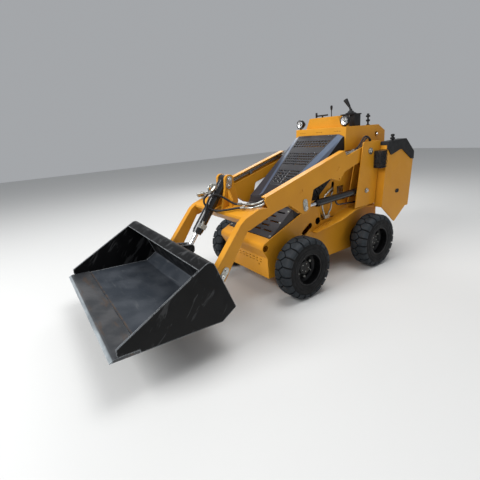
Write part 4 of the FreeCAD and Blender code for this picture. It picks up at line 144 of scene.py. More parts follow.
class Nodes:
    """Short calls for a material's node tree."""

    def __init__(self, material):
        self.tree = material.node_tree
        self.shader = self.tree.nodes["Principled BSDF"]
        self.place = self.tree.nodes.new("ShaderNodeTexCoord")

    def link(self, source, target):
        self.tree.links.new(source, target)

    def put(self, target, value):
        """A socket gets a link or a constant."""
        if isinstance(value, bpy.types.NodeSocket):
            self.link(value, target)
        else:
            target.default_value = value

    def math(self, kind, first, second=0.0, clamp=False):
        """One step of arithmetic on sockets or constants."""
        node = self.tree.nodes.new("ShaderNodeMath")
        node.operation = kind
        node.use_clamp = clamp
        self.put(node.inputs[0], first)
        self.put(node.inputs[1], second)
        return node.outputs[0]

    def noise(self, scale, detail=3.0, stretch=(1, 1, 1), distortion=0.0, slope=0.0):
        """Noise over the object's own place, stretched along the axes and leant over about X by a slope."""
        mapping = self.tree.nodes.new("ShaderNodeMapping")
        mapping.vector_type = "TEXTURE" if slope else "POINT"
        if slope:
            stretch = tuple(1 / part for part in stretch)
            mapping.inputs["Rotation"].default_value = (slope, 0, 0)
        mapping.inputs["Scale"].default_value = stretch
        self.link(self.place.outputs["Object"], mapping.inputs["Vector"])
        node = self.tree.nodes.new("ShaderNodeTexNoise")
        node.inputs["Scale"].default_value = scale
        node.inputs["Detail"].default_value = detail
        node.inputs["Distortion"].default_value = distortion
        self.link(mapping.outputs[0], node.inputs["Vector"])
        return node.outputs["Fac"]

    def ramp(self, source, low, high, start=0.0, end=1.0):
        """The source's range from low to high becomes start to end."""
        node = self.tree.nodes.new("ShaderNodeMapRange")
        node.interpolation_type = "SMOOTHSTEP"
        self.link(source, node.inputs["Value"])
        node.inputs["From Min"].default_value = low
        node.inputs["From Max"].default_value = high
        node.inputs["To Min"].default_value = start
        node.inputs["To Max"].default_value = end
        return node.outputs[0]

    def varied(self, scale, detail, low, high):
        """A value that drifts between two limits over the surface."""
        return self.ramp(self.noise(scale, detail), 0.3, 0.7, low, high)

    def mix(self, share, first, second):
        """The first colour at share 0 and the second at 1, each a socket or a plain colour."""
        node = self.tree.nodes.new("ShaderNodeMix")
        node.data_type = "RGBA"
        self.put(node.inputs[0], share)
        for socket, colour in ((node.inputs[6], first), (node.inputs[7], second)):
            self.put(socket, (*colour, 1) if isinstance(colour, tuple) else colour)
        return node.outputs[2]

    def axis(self, output, name):
        """One coordinate of the object's place or of its surface's direction."""
        node = self.tree.nodes.new("ShaderNodeSeparateXYZ")
        self.link(self.place.outputs[output], node.inputs[0])
        return node.outputs[name]

    def rounded(self, radius):
        """The surface's direction with its sharp edges rounded off."""
        bevel = self.tree.nodes.new("ShaderNodeBevel")
        bevel.samples = 6
        bevel.inputs["Radius"].default_value = radius
        return bevel.outputs[0]

    def edges(self, rounded, gain):
        """Bright along sharp edges, where the rounded direction leaves the flat one."""
        flat = self.tree.nodes.new("ShaderNodeNewGeometry")
        dot = self.tree.nodes.new("ShaderNodeVectorMath")
        dot.operation = "DOT_PRODUCT"
        self.link(rounded, dot.inputs[0])
        self.link(flat.outputs["Normal"], dot.inputs[1])
        away = self.math("SUBTRACT", 1.0, dot.outputs["Value"])
        return self.math("MULTIPLY", away, gain, clamp=True)

    def bump(self, height, strength, distance, normal=None):
        """A direction raised and lowered by a height."""
        node = self.tree.nodes.new("ShaderNodeBump")
        node.inputs["Strength"].default_value = strength
        node.inputs["Distance"].default_value = distance
        self.link(height, node.inputs["Height"])
        if normal is not None:
            self.link(normal, node.inputs["Normal"])
        return node.outputs[0]

    def surface(self, colour, normal, roughness=None):
        """Links what varies over the surface to the shader."""
        self.link(colour, self.shader.inputs["Base Color"])
        self.link(normal, self.shader.inputs["Normal"])
        if roughness is not None:
            self.link(roughness, self.shader.inputs["Roughness"])


def enamel(name, colour, deep, worn, roughness, coat=0.0, wear=0.5):
    """Sprayed paint: soft variation, orange peel, rounded edges and thin wear along them."""
    material = plain_material(name, colour, roughness[0], specular=0.25)
    n = Nodes(material)
    paint = n.mix(n.ramp(n.noise(2.3, 4), 0.35, 0.65), deep, colour)
    rounded = n.rounded(0.004)
    chips = n.math("MULTIPLY", n.edges(rounded, 3.0), n.ramp(n.noise(70, 5), 0.42, 0.6), clamp=True)
    paint = n.mix(n.math("MULTIPLY", chips, wear), paint, worn)
    peel = n.bump(n.noise(320, 2), 0.12, 0.0006, rounded)
    n.surface(paint, peel, n.varied(9, 5, *roughness))
    n.shader.inputs["Coat Weight"].default_value = coat
    n.shader.inputs["Coat Roughness"].default_value = 0.15
    return material


def bare_metal(name, colour, roughness, scale, bump):
    """Metal with a fine grain and uneven shine."""
    material = plain_material(name, colour, roughness, metallic=1.0)
    n = Nodes(material)
    fleck = n.noise(scale, 4)
    dark = tuple(0.72 * part for part in colour)
    tone = n.mix(n.ramp(fleck, 0.3, 0.7), dark, colour)
    grain = n.bump(fleck, bump, 0.0005, n.rounded(0.0015))
    n.surface(tone, grain, n.varied(scale / 3, 4, roughness * 0.7, roughness * 1.5))
    return material


def rubber(name, colour, dust, roughness, scale, bump):
    """Dull rubber or moulded plastic with a fine grain and a trace of dust."""
    material = plain_material(name, colour, roughness, specular=0.2)
    n = Nodes(material)
    tone = n.mix(n.ramp(n.noise(11, 5), 0.45, 0.8), colour, dust)
    grain = n.bump(n.noise(scale, 3), bump, 0.0006, n.rounded(0.003))
    n.surface(tone, grain, n.varied(24, 4, roughness * 0.85, min(1, roughness * 1.2)))
    return material


def hood_finish():
    """Charcoal face, a painted highlight in blue-grey on the bevelled bands and painted shade in black on
    the sides, told apart by the way a face looks.
    """
    material = plain_material("hood_enamel", (0.045, 0.042, 0.046), 0.4, specular=0.22)
    n = Nodes(material)
    painted_highlight_blue_grey, painted_shade_black, bare_edge = (0.07, 0.095, 0.145), (0.012, 0.012, 0.013), (0.3, 0.31, 0.33)
    # The bevelled bands' blue-grey is a painted highlight and the sides' black is painted shade, both chosen
    # by how far a face looks sideways
    aside = n.math("ABSOLUTE", n.axis("Normal", "X"))
    band = n.math("MULTIPLY", n.ramp(aside, 0.08, 0.2), n.ramp(aside, 0.75, 0.6), clamp=True)
    side = n.ramp(aside, 0.75, 0.9)
    face = n.mix(n.ramp(n.noise(3, 4), 0.35, 0.65), (0.020, 0.018, 0.021), (0.032, 0.030, 0.033))
    paint = n.mix(side, n.mix(band, face, painted_highlight_blue_grey), painted_shade_black)
    rounded = n.rounded(0.003)
    paint = n.mix(n.math("MULTIPLY", n.edges(rounded, 3.0), 0.45), paint, bare_edge)
    peel = n.bump(n.noise(300, 2), 0.15, 0.0006, rounded)
    n.surface(paint, peel, n.varied(8, 4, 0.3, 0.45))
    return material


# Bucket: heights where the rubbing of the floor starts and is full, then along Y the blends beside a rusty
# seam behind the cutting edge, and where that edge's tip starts to be bright and is fully so
RUBBED_FROM, RUBBED_FULL = 0.40, 0.33
SEAM_FRONT = (-1.262, -1.256)
SEAM_BACK = (-1.246, -1.252)
TIP_FROM, TIP_FULL = -1.386, -1.394


def bucket_finish():
    """Black paint outside and a floor rubbed to blue-grey steel, with long scratches."""
    material = plain_material("bucket_enamel", (0.012, 0.012, 0.013), 0.35, specular=0.16)
    n = Nodes(material)
    scratch_grey, seam_brown, scuff_grey = (0.14, 0.145, 0.15), (0.085, 0.064, 0.05), (0.06, 0.061, 0.063)
    up = n.ramp(n.axis("Normal", "Z"), 0.12, 0.45)
    inside = n.ramp(n.axis("Object", "Z"), RUBBED_FROM, RUBBED_FULL)
    patches = n.ramp(n.noise(3.5, 5), 0.2, 0.5, 0.75, 1.0)
    rubbed = n.math("MULTIPLY", n.math("MULTIPLY", up, inside), patches, clamp=True)

    floor = n.mix(n.ramp(n.noise(5, 6), 0.35, 0.7), (0.032, 0.038, 0.047), (0.06, 0.067, 0.078))
    scratches = n.ramp(n.noise(38, 6, (0.12, 1, 1), 1.2), 0.6, 0.74)
    floor = n.mix(n.math("MULTIPLY", scratches, 0.35), floor, scratch_grey)
    along = n.axis("Object", "Y")
    seam = n.math("MULTIPLY", n.ramp(along, *SEAM_FRONT), n.ramp(along, *SEAM_BACK), clamp=True)
    seam = n.math("MULTIPLY", seam, n.ramp(n.noise(60, 5, (0.5, 1, 1)), 0.35, 0.6))
    floor = n.mix(seam, floor, seam_brown)

    scuffs = n.ramp(n.noise(15, 6, (1, 0.35, 1.6), 1.2, 0.9), 0.56, 0.66)
    outer = n.mix(n.math("MULTIPLY", scuffs, 0.6), (0.004, 0.004, 0.0043), scuff_grey)

    rounded = n.rounded(0.009)
    chips = n.math("MULTIPLY", n.edges(rounded, 4.0), n.ramp(n.noise(45, 5), 0.25, 0.45), clamp=True)
    paint = n.mix(n.math("MULTIPLY", chips, 0.9), n.mix(rubbed, outer, floor), (0.42, 0.44, 0.46))
    dents = n.bump(n.noise(60, 4), 0.1, 0.001, rounded)
    n.surface(paint, dents, n.varied(12, 5, 0.28, 0.5))
    return material


def edge_finish():
    """Cutting edge: dull steel behind, ground bright at the tip."""
    material = plain_material("worn_steel", (0.1, 0.105, 0.11), 0.38, metallic=0.5)
    n = Nodes(material)
    tip = n.ramp(n.axis("Object", "Y"), TIP_FROM, TIP_FULL)
    dull = n.mix(n.ramp(n.noise(6, 6), 0.35, 0.7), (0.05, 0.053, 0.058), (0.105, 0.105, 0.108))
    rust = n.math("MULTIPLY", n.ramp(n.noise(30, 6, (0.2, 1, 1)), 0.58, 0.7), 0.5)
    dull = n.mix(rust, dull, (0.11, 0.07, 0.045))
    lines = n.ramp(n.noise(40, 5, (0.1, 1, 1)), 0.35, 0.65)
    bright = n.mix(lines, (0.24, 0.27, 0.29), (0.42, 0.46, 0.48))
    rounded = n.rounded(0.004)
    steel = n.mix(n.math("MAXIMUM", tip, n.edges(rounded, 3.0)), dull, bright)
    dents = n.bump(n.noise(80, 4), 0.12, 0.001, rounded)
    n.surface(steel, dents, n.varied(20, 5, 0.3, 0.5))
    return material


def braid_finish():
    """Black hose with a fine woven cover."""
    material = plain_material("hose_rubber", (0.014, 0.014, 0.015), 0.5)
    n = Nodes(material)
    weave = []
    for slope in (1, -1):
        wave = n.tree.nodes.new("ShaderNodeTexWave")
        wave.bands_direction = "DIAGONAL"
        wave.inputs["Scale"].default_value = 120
        wave.inputs["Distortion"].default_value = 0.4
        mapping = n.tree.nodes.new("ShaderNodeMapping")
        mapping.inputs["Scale"].default_value = (slope, 1, 1)
        n.link(n.place.outputs["Object"], mapping.inputs["Vector"])
        n.link(mapping.outputs[0], wave.inputs["Vector"])
        weave.append(wave.outputs["Fac"])
    crossed = n.math("MULTIPLY", *weave)
    tone = n.mix(crossed, (0.008, 0.008, 0.009), (0.045, 0.045, 0.047))
    n.surface(tone, n.bump(crossed, 0.5, 0.0008), n.varied(40, 3, 0.4, 0.6))
    return material


def mottled_finish():
    """Box behind the crumpled mesh: dark, with dull paint showing here and there."""
    material = plain_material("mesh_backing", (0.01, 0.01, 0.01), 0.6)
    n = Nodes(material)
    patch = n.ramp(n.noise(75, 3, distortion=1.5), 0.5, 0.58)
    tone = n.mix(patch, (0.006, 0.006, 0.006), (0.16, 0.085, 0.02))
    n.surface(tone, n.bump(n.noise(90, 3), 0.6, 0.003))
    return material


def glass_finish():
    """Clear lamp lens."""
    material = plain_material("lamp_glass", (0.95, 0.97, 1), 0.04)
    shader = material.node_tree.nodes["Principled BSDF"]
    shader.inputs["Transmission Weight"].default_value = 1
    shader.inputs["IOR"].default_value = 1.3
    return material


def make_finishes():
    """The finishes by material slot, and those of the pieces that have one of their own."""
    return {
        "machine_yellow": enamel("yellow_enamel", (0.66, 0.292, 0.018), deep=(0.6, 0.255, 0.014),
                                 worn=(0.8, 0.5, 0.12), roughness=(0.36, 0.5), coat=0.1, wear=0.6),
        "black_enamel": enamel("black_enamel", (0.013, 0.013, 0.014), deep=(0.009, 0.009, 0.01),
                               worn=(0.16, 0.16, 0.16), roughness=(0.35, 0.5)),
        "hood_grey": hood_finish(),
        "bucket_black": bucket_finish(),
        "edge_steel": edge_finish(),
        "wheel_black": enamel("wheel_enamel", (0.004, 0.004, 0.0045), deep=(0.003, 0.003, 0.0035),
                              worn=(0.2, 0.2, 0.21), roughness=(0.34, 0.5), coat=0.08, wear=0.3),
        "tyre_rubber": rubber("tyre_rubber", (0.006, 0.006, 0.0065), dust=(0.011, 0.011, 0.012),
                              roughness=0.66, scale=240, bump=0.3),
        "cylinder_black": enamel("cylinder_enamel", (0.009, 0.009, 0.01), deep=(0.007, 0.007, 0.008),
                                 worn=(0.1, 0.1, 0.1), roughness=(0.18, 0.3), coat=0.6, wear=0.3),
        "chrome_rod": bare_metal("hard_chrome", (0.78, 0.79, 0.8), roughness=0.1, scale=40, bump=0.01),
        "zinc": bare_metal("zinc", (0.5, 0.5, 0.46), roughness=0.3, scale=120, bump=0.06),
        "moulded_black": rubber("moulded_black", (0.013, 0.013, 0.014), dust=(0.02, 0.02, 0.021),
                                roughness=0.5, scale=280, bump=0.2),
        "lamp_black": enamel("lamp_black", (0.012, 0.012, 0.012), deep=(0.009, 0.009, 0.009),
                             worn=(0.1, 0.1, 0.1), roughness=(0.3, 0.4)),
        "bright": bare_metal("bright_zinc", (0.68, 0.68, 0.65), roughness=0.24, scale=120, bump=0.05),
        "cover": enamel("cover_enamel", (0.058, 0.056, 0.06), deep=(0.042, 0.040, 0.044),
                        worn=(0.2, 0.2, 0.21), roughness=(0.35, 0.5)),
        "screen": enamel("screen_enamel", (0.036, 0.035, 0.038), deep=(0.026, 0.025, 0.028),
                         worn=(0.2, 0.2, 0.21), roughness=(0.4, 0.5)),
        "hose_rubber": braid_finish(),
        # The tread's colours are lighter and bluer than the tyre's rubber: painted sky light on the tread,
        # with noise-placed dust over it
        "tread": rubber("tread_rubber_sky_lit", (0.019, 0.023, 0.027), dust=(0.036, 0.042, 0.049),
                        roughness=0.6, scale=240, bump=0.4),
        "engine": enamel("engine_grey", (0.022, 0.022, 0.023), deep=(0.014, 0.014, 0.015),
                         worn=(0.2, 0.2, 0.2), roughness=(0.4, 0.6)),
        "reflector": bare_metal("reflector", (1, 1, 1), roughness=0.4, scale=60, bump=0.02),
        "glass": glass_finish(),
        "mottled": mottled_finish(),
    }


# Carried-over pieces whose finish isn't their slot's
OWN_FINISH = {"guard_box": "mottled", "front_cover": "cover"}


def finish_frame(finishes):
    """Gives every carried-over piece its finish."""
    slots = {part["node"]: part["material_slot"] for part in frame["record"]["subparts"]}
    for node, piece in frame["nodes"].items():
        piece.data.materials.clear()
        piece.data.materials.append(finishes[OWN_FINISH.get(node, slots[node])])


# Hoses: control points in millimetres, as in the part's source
TILT_ROD_ROUTE = (
    (165, -352, 718), (145, -354, 716), (126, -364, 720), (107, -382, 736), (88, -408, 760),
    (70, -440, 784), (58, -473, 796), (54, -503, 787), (56, -526, 764), (57, -540, 735),
    (57, -549, 705), (56, -557, 677), (54, -566, 650), (52, -576, 624),
)
TILT_BASE_ROUTE = (
    (235, -379, 707), (211, -385, 705), (176, -409, 697), (138, -440, 688), (100, -468, 683),
    (69, -494, 685), (48, -517, 697), (32, -535, 718), (22, -544, 743), (18, -540, 767),
    (19, -525, 785), (21, -506, 797),
)
INNER_ROUTE = (
    (341, 700, 1003), (341, 752, 1014), (341, 800, 1068), (341, 832, 1100), (341, 880, 1104),
    (341, 914, 1070), (341, 914, 990),
)
OUTER_ROUTE = (
    (356, 714.3, 1000.9), (356, 761.1, 1010.9), (356, 804.4, 1059.5), (356, 833.3, 1088.4),
    (356, 876.6, 1092), (356, 907.2, 1061.3), (356, 907.2, 990),
)
# Each hose's node and route, 1 for the route as written or -1 mirrored, and thickness and length in metres
HOSES = (
    ("tilt_hose_rod", TILT_ROD_ROUTE, 1, 0.015, 0.404),
    ("tilt_hose_base", TILT_BASE_ROUTE, 1, 0.015, 0.368),
    ("pivot_hose_left_inner", INNER_ROUTE, 1, 0.014, 0.339),
    ("pivot_hose_left_outer", OUTER_ROUTE, 1, 0.014, 0.304),
    ("pivot_hose_right_inner", INNER_ROUTE, -1, 0.014, 0.339),
    ("pivot_hose_right_outer", OUTER_ROUTE, -1, 0.014, 0.304),
)


def build_hoses(finishes):
    """Six hoses, each a smooth curve in place of its plain tube."""
    for node, route, side, thickness, length in HOSES:
        data = bpy.data.curves.new("braided_" + node, "CURVE")
        data.dimensions = "3D"
        data.resolution_u = 10
        data.bevel_depth = thickness / 2
        data.bevel_resolution = 4
        data.use_fill_caps = True
        places = [(side * x / 1000, y / 1000, z / 1000) for x, y, z in route]
        spline = data.splines.new("NURBS")
        spline.points.add(len(places) - 1)
        for point, place in zip(spline.points, places):
            point.co = (*place, 1)
        spline.order_u = 3
        spline.use_endpoint_u = True
        hose = bpy.data.objects.new("braided_" + node, data)
        bpy.context.scene.collection.objects.link(hose)
        data.materials.append(finishes["hose_rubber"])
        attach(hose, "boom")
        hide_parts(node)


# What all new pieces share
def place_mesh(name, mesh, finish, body, matrix=None):
    """A mesh becomes a piece of the object that rides on a body."""
    piece = bpy.data.objects.new(name, mesh)
    if matrix is not None:
        piece.matrix_world = matrix
    bpy.context.scene.collection.objects.link(piece)
    mesh.materials.clear()
    mesh.materials.append(finish)
    bpy.context.view_layer.update()
    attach(piece, body)
    return piece


def mesh_from(form, name, smooth):
    """Closes a bmesh into a mesh."""
    mesh = bpy.data.meshes.new(name)
    form.to_mesh(mesh)
    form.free()
    for face in mesh.polygons:
        face.use_smooth = smooth
    return mesh


def outward_mesh(form, name, smooth=True):
    """Closes a bmesh into a mesh whose faces look outward."""
    bmesh.ops.recalc_face_normals(form, faces=form.faces)
    return mesh_from(form, name, smooth)


def place_form(form, name, finish, body, smooth=True):
    """A bmesh becomes a piece of the object that rides on a body."""
    return place_mesh(name, outward_mesh(form, name, smooth), finish, body)


def facing(place, direction):
    """A frame at a place with its own Z axis along a direction."""
    turn = Vector(direction).normalized().to_track_quat("Z", "Y").to_matrix().to_4x4()
    return Matrix.Translation(Vector(place)) @ turn


def circle(form, base, radius, along, count):
    """A ring of vertices about a frame's own Z axis."""
    ring = []
    for k in range(count):
        a = 2 * math.pi * k / count
        ring.append(form.verts.new(base @ Vector((radius * math.cos(a), radius * math.sin(a), along))))
    return ring


def bridge(form, rings):
    """Faces between each ring of vertices and the next."""
    for near, far in zip(rings, rings[1:]):
        count = len(near)
        for k in range(count):
            form.faces.new((near[k], near[(k + 1) % count], far[(k + 1) % count], far[k]))


def spun(form, outline, centre, axis, steps=40):
    """A turned form, closed at its end: pairs of radius and distance along the axis from the centre."""
    base = facing(centre, axis)
    rings = [circle(form, base, radius, along, steps) for radius, along in outline]
    bridge(form, rings)
    form.faces.new(rings[-1])


def hex_bolt(form, place, normal, radius, height, washer=1.35):
    """Adds a washer and a chamfered hex head to a bmesh, with the washer's size as a share of the head's."""
    disc = ((radius * washer, 0), (radius * washer, height * 0.22), (radius * 0.98, height * 0.24))
    head = ((radius, height * 0.24), (radius, height * 0.85), (radius * 0.86, height))
    spun(form, disc, place, normal, steps=24)
    spun(form, head, place, normal, steps=6)


# Wheels: half the track, the axles' places, and the tyre's size from its centre, with the axle along X
WHEEL_X = 0.435
AXLES = (("front", -0.007), ("rear", 0.846))
TYRE_RADIUS = 0.225
TYRE_STEPS = 96
CROWN_HALF = 0.049
SHOULDER_HALF = 0.0712
SHOULDER_RADIUS = 0.2092
SHOULDER_CURVE = 1.3
# The tyre under its tread, from the middle of the crown to the bead: pairs of place across and radius
SIDEWALL = (
    (0.0, 0.2115), (0.044, 0.2115), (0.057, 0.207), (0.065, 0.199), (0.0695, 0.19), (0.0715, 0.182),
    (0.0745, 0.172), (0.0748, 0.162), (0.0733, 0.1595), (0.0735, 0.156), (0.0748, 0.1535), (0.0748, 0.147),
    (0.0738, 0.138), (0.0728, 0.1345), (0.0735, 0.132), (0.0722, 0.1265), (0.07, 0.1205), (0.066, 0.1182),
)
# Tread: blocks in each of two rows, steps along a block, and the zigzag's swing and middle
BLOCKS = 20
BLOCK_STEPS = 8
ZIGZAG = 0.015
ZIGZAG_MIDDLE = 0.0035
# Half the gap between blocks at the zigzag, and how much it grows by the shoulder
GAP_HALF = 0.0032
GAP_GROWTH = 0.0035
# A block's section beyond the zigzag: over the crown and shoulder, then down its side by place and radius
CROWN_INNER = CROWN_HALF - 0.006
CROWN_OUTER = CROWN_HALF + 0.004
BEFORE_SHOULDER = 0.062
BLOCK_SIDE = ((0.0732, 0.199), (0.0726, 0.187))
# How far a block's walls reach into the tyre: under the crown, at its side, and inward from the shoulder
ROOT_DEPTH = 0.017
SIDE_FROM, SIDE_DEPTH = 0.0722, 0.002
LEAN_FROM, LEAN = 0.06, 0.008


def wheels():
    """Each wheel's name and its place, with its outer side along its own +X."""
    for axle, y in AXLES:
        for side_name, side in SIDES:
            turn = Matrix.Rotation(0 if side > 0 else math.pi, 4, "Z")
            yield "%s_%s" % (axle, side_name), Matrix.Translation((side * WHEEL_X, y, TYRE_RADIUS)) @ turn


def tread_radius(x):
    """Height of the tread over the axle at a place across it."""
    x = abs(x)
    if x <= CROWN_HALF:
        return TYRE_RADIUS
    share = (x - CROWN_HALF) / (SHOULDER_HALF - CROWN_HALF)
    return TYRE_RADIUS + (SHOULDER_RADIUS - TYRE_RADIUS) * share ** SHOULDER_CURVE


def tyre_mesh():
    """The tyre under its tread, with ribbed sidewalls."""
    form = bmesh.new()
    profile = [(-x, r) for x, r in reversed(SIDEWALL)] + list(SIDEWALL[1:])
    rings = []
    for k in range(TYRE_STEPS):
        a = 2 * math.pi * k / TYRE_STEPS
        rings.append([form.verts.new((x, r * math.sin(a), r * math.cos(a))) for x, r in profile])
    bridge(form, rings + rings[:1])
    return outward_mesh(form, "tyre_carcass")


def block_section(share):
    """A block's section at a share of its length: pairs of place across and radius."""
    zigzag = ZIGZAG * (4 * abs(share - 0.5) - 1) + ZIGZAG_MIDDLE
    crown = (zigzag, zigzag + (CROWN_INNER - zigzag) / 2, CROWN_INNER)
    shoulder = (CROWN_OUTER, BEFORE_SHOULDER, SHOULDER_HALF)
    return [(x, tread_radius(x)) for x in crown + shoulder] + list(BLOCK_SIDE)


def tread_block(form, side, start, pitch):
    """One block that starts at an angle: its face, and walls that reach into the tyre."""
    grid = []
    for i in range(BLOCK_STEPS + 1):
        share = i / BLOCK_STEPS
        row = []
        for x, r in block_section(share):
            gap = (GAP_HALF + GAP_GROWTH * max(0, x) / SHOULDER_HALF) / TYRE_RADIUS
            a = start + gap + (pitch - 2 * gap) * share
            row.append(form.verts.new((side * x, r * math.sin(a), r * math.cos(a))))
        grid.append(row)
    for near, far in zip(grid, grid[1:]):
        for j in range(len(near) - 1):
            form.faces.new((near[j], far[j], far[j + 1], near[j + 1]))
    border = [row[0] for row in grid] + grid[-1][1:]
    border += [row[-1] for row in reversed(grid[:-1])] + grid[0][-2:0:-1]
    deep = []
    for vertex in border:
        x, y, z = vertex.co
        r = math.hypot(y, z)
        low = r - (ROOT_DEPTH if abs(x) < SIDE_FROM else SIDE_DEPTH)
        lean = 0 if abs(x) < LEAN_FROM else LEAN
        deep.append(form.verts.new((x - math.copysign(lean, x), y * low / r, z * low / r)))
    bridge(form, [border, deep])


def tread_mesh():
    """Two rows of blocks, half a block apart, that meet in a zigzag groove."""
    form = bmesh.new()
    pitch = 2 * math.pi / BLOCKS
    for side, shift in ((1, 0), (-1, 0.5)):
        for k in range(BLOCKS):
            tread_block(form, side, (k + shift) * pitch, pitch)
    return outward_mesh(form, "tyre_tread")


def build_tyres(finishes):
    """Four treaded tyres in place of the plain rings."""
    carcass, tread = tyre_mesh(), tread_mesh()
    for wheel, place in wheels():
        node = "tyre_" + wheel
        body = "wheel_" + wheel
        ring = place_mesh("solid_" + node, carcass.copy(), finishes["tyre_rubber"],
                          body, place)
        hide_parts(node)
        blocks = place_mesh("tread_" + wheel, tread.copy(), finishes["tread"], body, place)
        bevel = blocks.modifiers.new("soft_edges", "BEVEL")
        bevel.width = 0.0018
        bevel.segments = 2
        bevel.limit_method = "ANGLE"
        bevel.angle_limit = math.radians(38)
        bevel.harden_normals = True


# Wheel discs: the face's distance from the machine's middle, then a row each for nuts and hub screws with
# the circle's radius, height over the face, count and first angle, and a head's radius, height and washer
DISC_FACE = 0.430
WHEEL_BOLTS = (
    (0.071, 0.0135, 6, 0, 0.0085, 0.0075, 1.1),
    (0.031, 0.0262, 5, 30, 0.0035, 0.003, 1.2),
)


def build_wheel_nuts(finishes):
    """Bright nuts and a ring of hub screws on each wheel disc."""
    form = bmesh.new()
    for ring, lift, count, first, radius, height, washer in WHEEL_BOLTS:
        for k in range(count):
            a = math.radians(360 / count * k + first)
            place = (DISC_FACE - WHEEL_X + lift, ring * math.sin(a), ring * math.cos(a))
            hex_bolt(form, place, (1, 0, 0), radius, height, washer)
    nuts = outward_mesh(form, "wheel_nuts", False)
    for wheel, place in wheels():
        place_mesh("nuts_" + wheel, nuts.copy(), finishes["zinc"], "wheel_" + wheel, place)


# Work lamps: the centre of each face, then each turned piece's name, outline, steps, finish and slot
LAMP_X, LAMP_Y, LAMP_Z = 0.25, 0.6945, 1.239
LAMP_PIECES = (
    ("reflector", ((0.0335, 0.0038), (0.03, 0.0022), (0.022, 0.0008), (0.012, 0.0002), (0.0119, 0.0001)),
     40, "reflector", "zinc"),
    ("bulb_cap", ((0.0095, 0.0005), (0.0095, 0.0042), (0.0075, 0.0056), (0.002, 0.006)),
     24, "zinc", "zinc"),
    ("lens", ((0.0345, 0.004), (0.032, 0.0056), (0.022, 0.0078), (0.01, 0.0088), (0.002, 0.009)),
     40, "glass", "lamp_black"),
    ("lamp_ring", ((0.0335, 0.0), (0.0335, 0.0075), (0.0365, 0.0095), (0.0395, 0.0075), (0.0402, 0.0)),
     40, "lamp_black", "lamp_black"),
)


def build_lamps(finishes):
    """Reflector, bulb cap, lens and ring on each work lamp."""
    for side_name, side in SIDES:
        for kind, outline, steps, finish, slot in LAMP_PIECES:
            form = bmesh.new()
            spun(form, outline, (side * LAMP_X, LAMP_Y, LAMP_Z), (0, -1, 0), steps)
            place_form(form, "%s_%s" % (kind, side_name), finishes[finish], "machine_frame")


# Screws along the hood's top edge, and those of the front cover: a point on its sloping face, and its rise
HOOD_SCREW_X = (0.133, 0.164, 0.194, -0.155, -0.186, -0.216)
HOOD_SCREW_Y, HOOD_SCREW_Z = 0.6395, 1.1265
HOOD_NORMAL = (0, -0.61, 0.8)
COVER_Y, COVER_Z, COVER_RISE = -0.160, 0.449, 0.7735
COVER_NORMAL = (0, -0.61, 0.79)
COVER_SCREW_X = 0.252
COVER_SCREW_Y = (-0.155, -0.052, 0.036)


def build_fasteners(finishes):
    """Small screws on hood and front cover."""
    form = bmesh.new()
    for x in HOOD_SCREW_X:
        hex_bolt(form, (x, HOOD_SCREW_Y, HOOD_SCREW_Z), HOOD_NORMAL, radius=0.0045, height=0.004)
    for _, side in SIDES:
        for y in COVER_SCREW_Y:
            z = COVER_Z + (y - COVER_Y) * COVER_RISE
            hex_bolt(form, (side * COVER_SCREW_X, y, z), COVER_NORMAL, radius=0.007, height=0.006)
    place_form(form, "cover_screws", finishes["zinc"], "machine_frame", smooth=False)


# Places of bolts and grease nipples, each as Y, Z and distance from the middle
KEEPER_BOLTS = ((0.0909, 0.6829, 0.379), (-0.6222, 0.3689, 0.379), (-0.354, 0.8395, 0.067))
GREASE_NIPPLES = ((0.097, 0.637, 0.385), (-0.650, 0.334, 0.385), (-0.344, 0.885, 0.073))
TOWER_BOLTS = ((0.845, 0.982, 0.4), (0.801, 0.660, 0.4))
NIPPLE = ((0.0135, 0.0), (0.0125, 0.0018), (0.004, 0.002), (0.0038, 0.0065), (0.0022, 0.0085))


def build_pin_heads(finishes):
    """Bolts and grease nipples on the keepers, hex bolts on the towers."""
    form = bmesh.new()
    for _, side in SIDES:
        for y, z, x in KEEPER_BOLTS:
            hex_bolt(form, (side * x, y, z), (side, 0, 0), radius=0.0085, height=0.0075, washer=1.25)
        for y, z, x in GREASE_NIPPLES:
            spun(form, NIPPLE, (side * x, y, z), (side, 0, 0), steps=20)
    place_form(form, "keeper_bolts", finishes["bright"], "boom", smooth=False)
    form = bmesh.new()
    for _, side in SIDES:
        for y, z, x in TOWER_BOLTS:
            hex_bolt(form, (side * x, y, z), (side, 0, 0), radius=0.0125, height=0.011, washer=1.3)
    place_form(form, "tower_bolts", finishes["bright"], "machine_frame", smooth=False)


# Hood's face: foot and top edge with half widths, the screen's window and border, each band of holes by its
# middle and count of rows, and the rows' pitch and columns
FOOT_Y, FOOT_Z, FOOT_HALF = 0.076, 0.700, 0.093
TOP_Y, TOP_Z, TOP_HALF = 0.647, 1.134, 0.221
WINDOW_LOW, WINDOW_HIGH = 0.165, 0.615
WINDOW_BORDER = 0.0158
BANDS = ((0.244, 5), (0.410, 5), (0.559, 3))
ROW_PITCH = 0.0247
COLUMNS = 12
# A hole's half sizes and its cut corners, as shares of its cell and of those halves
HOLE_WIDE, HOLE_TALL, HOLE_CORNER = 0.34, 0.33, 0.8
SCREEN_THICKNESS = 0.003
# Eight points round a cell or a hole, from its middle
AROUND = ((-1, -1), (0, -1), (1, -1), (1, 0), (1, 1), (0, 1), (-1, 1), (-1, 0))


def screen_place(share, y):
    """A point of the screen at a share of its half width."""
    along = (y - FOOT_Y) / (TOP_Y - FOOT_Y)
    half = FOOT_HALF + along * (TOP_HALF - FOOT_HALF) - WINDOW_BORDER
    return Vector((half * share, y, FOOT_Z + along * (TOP_Z - FOOT_Z)))


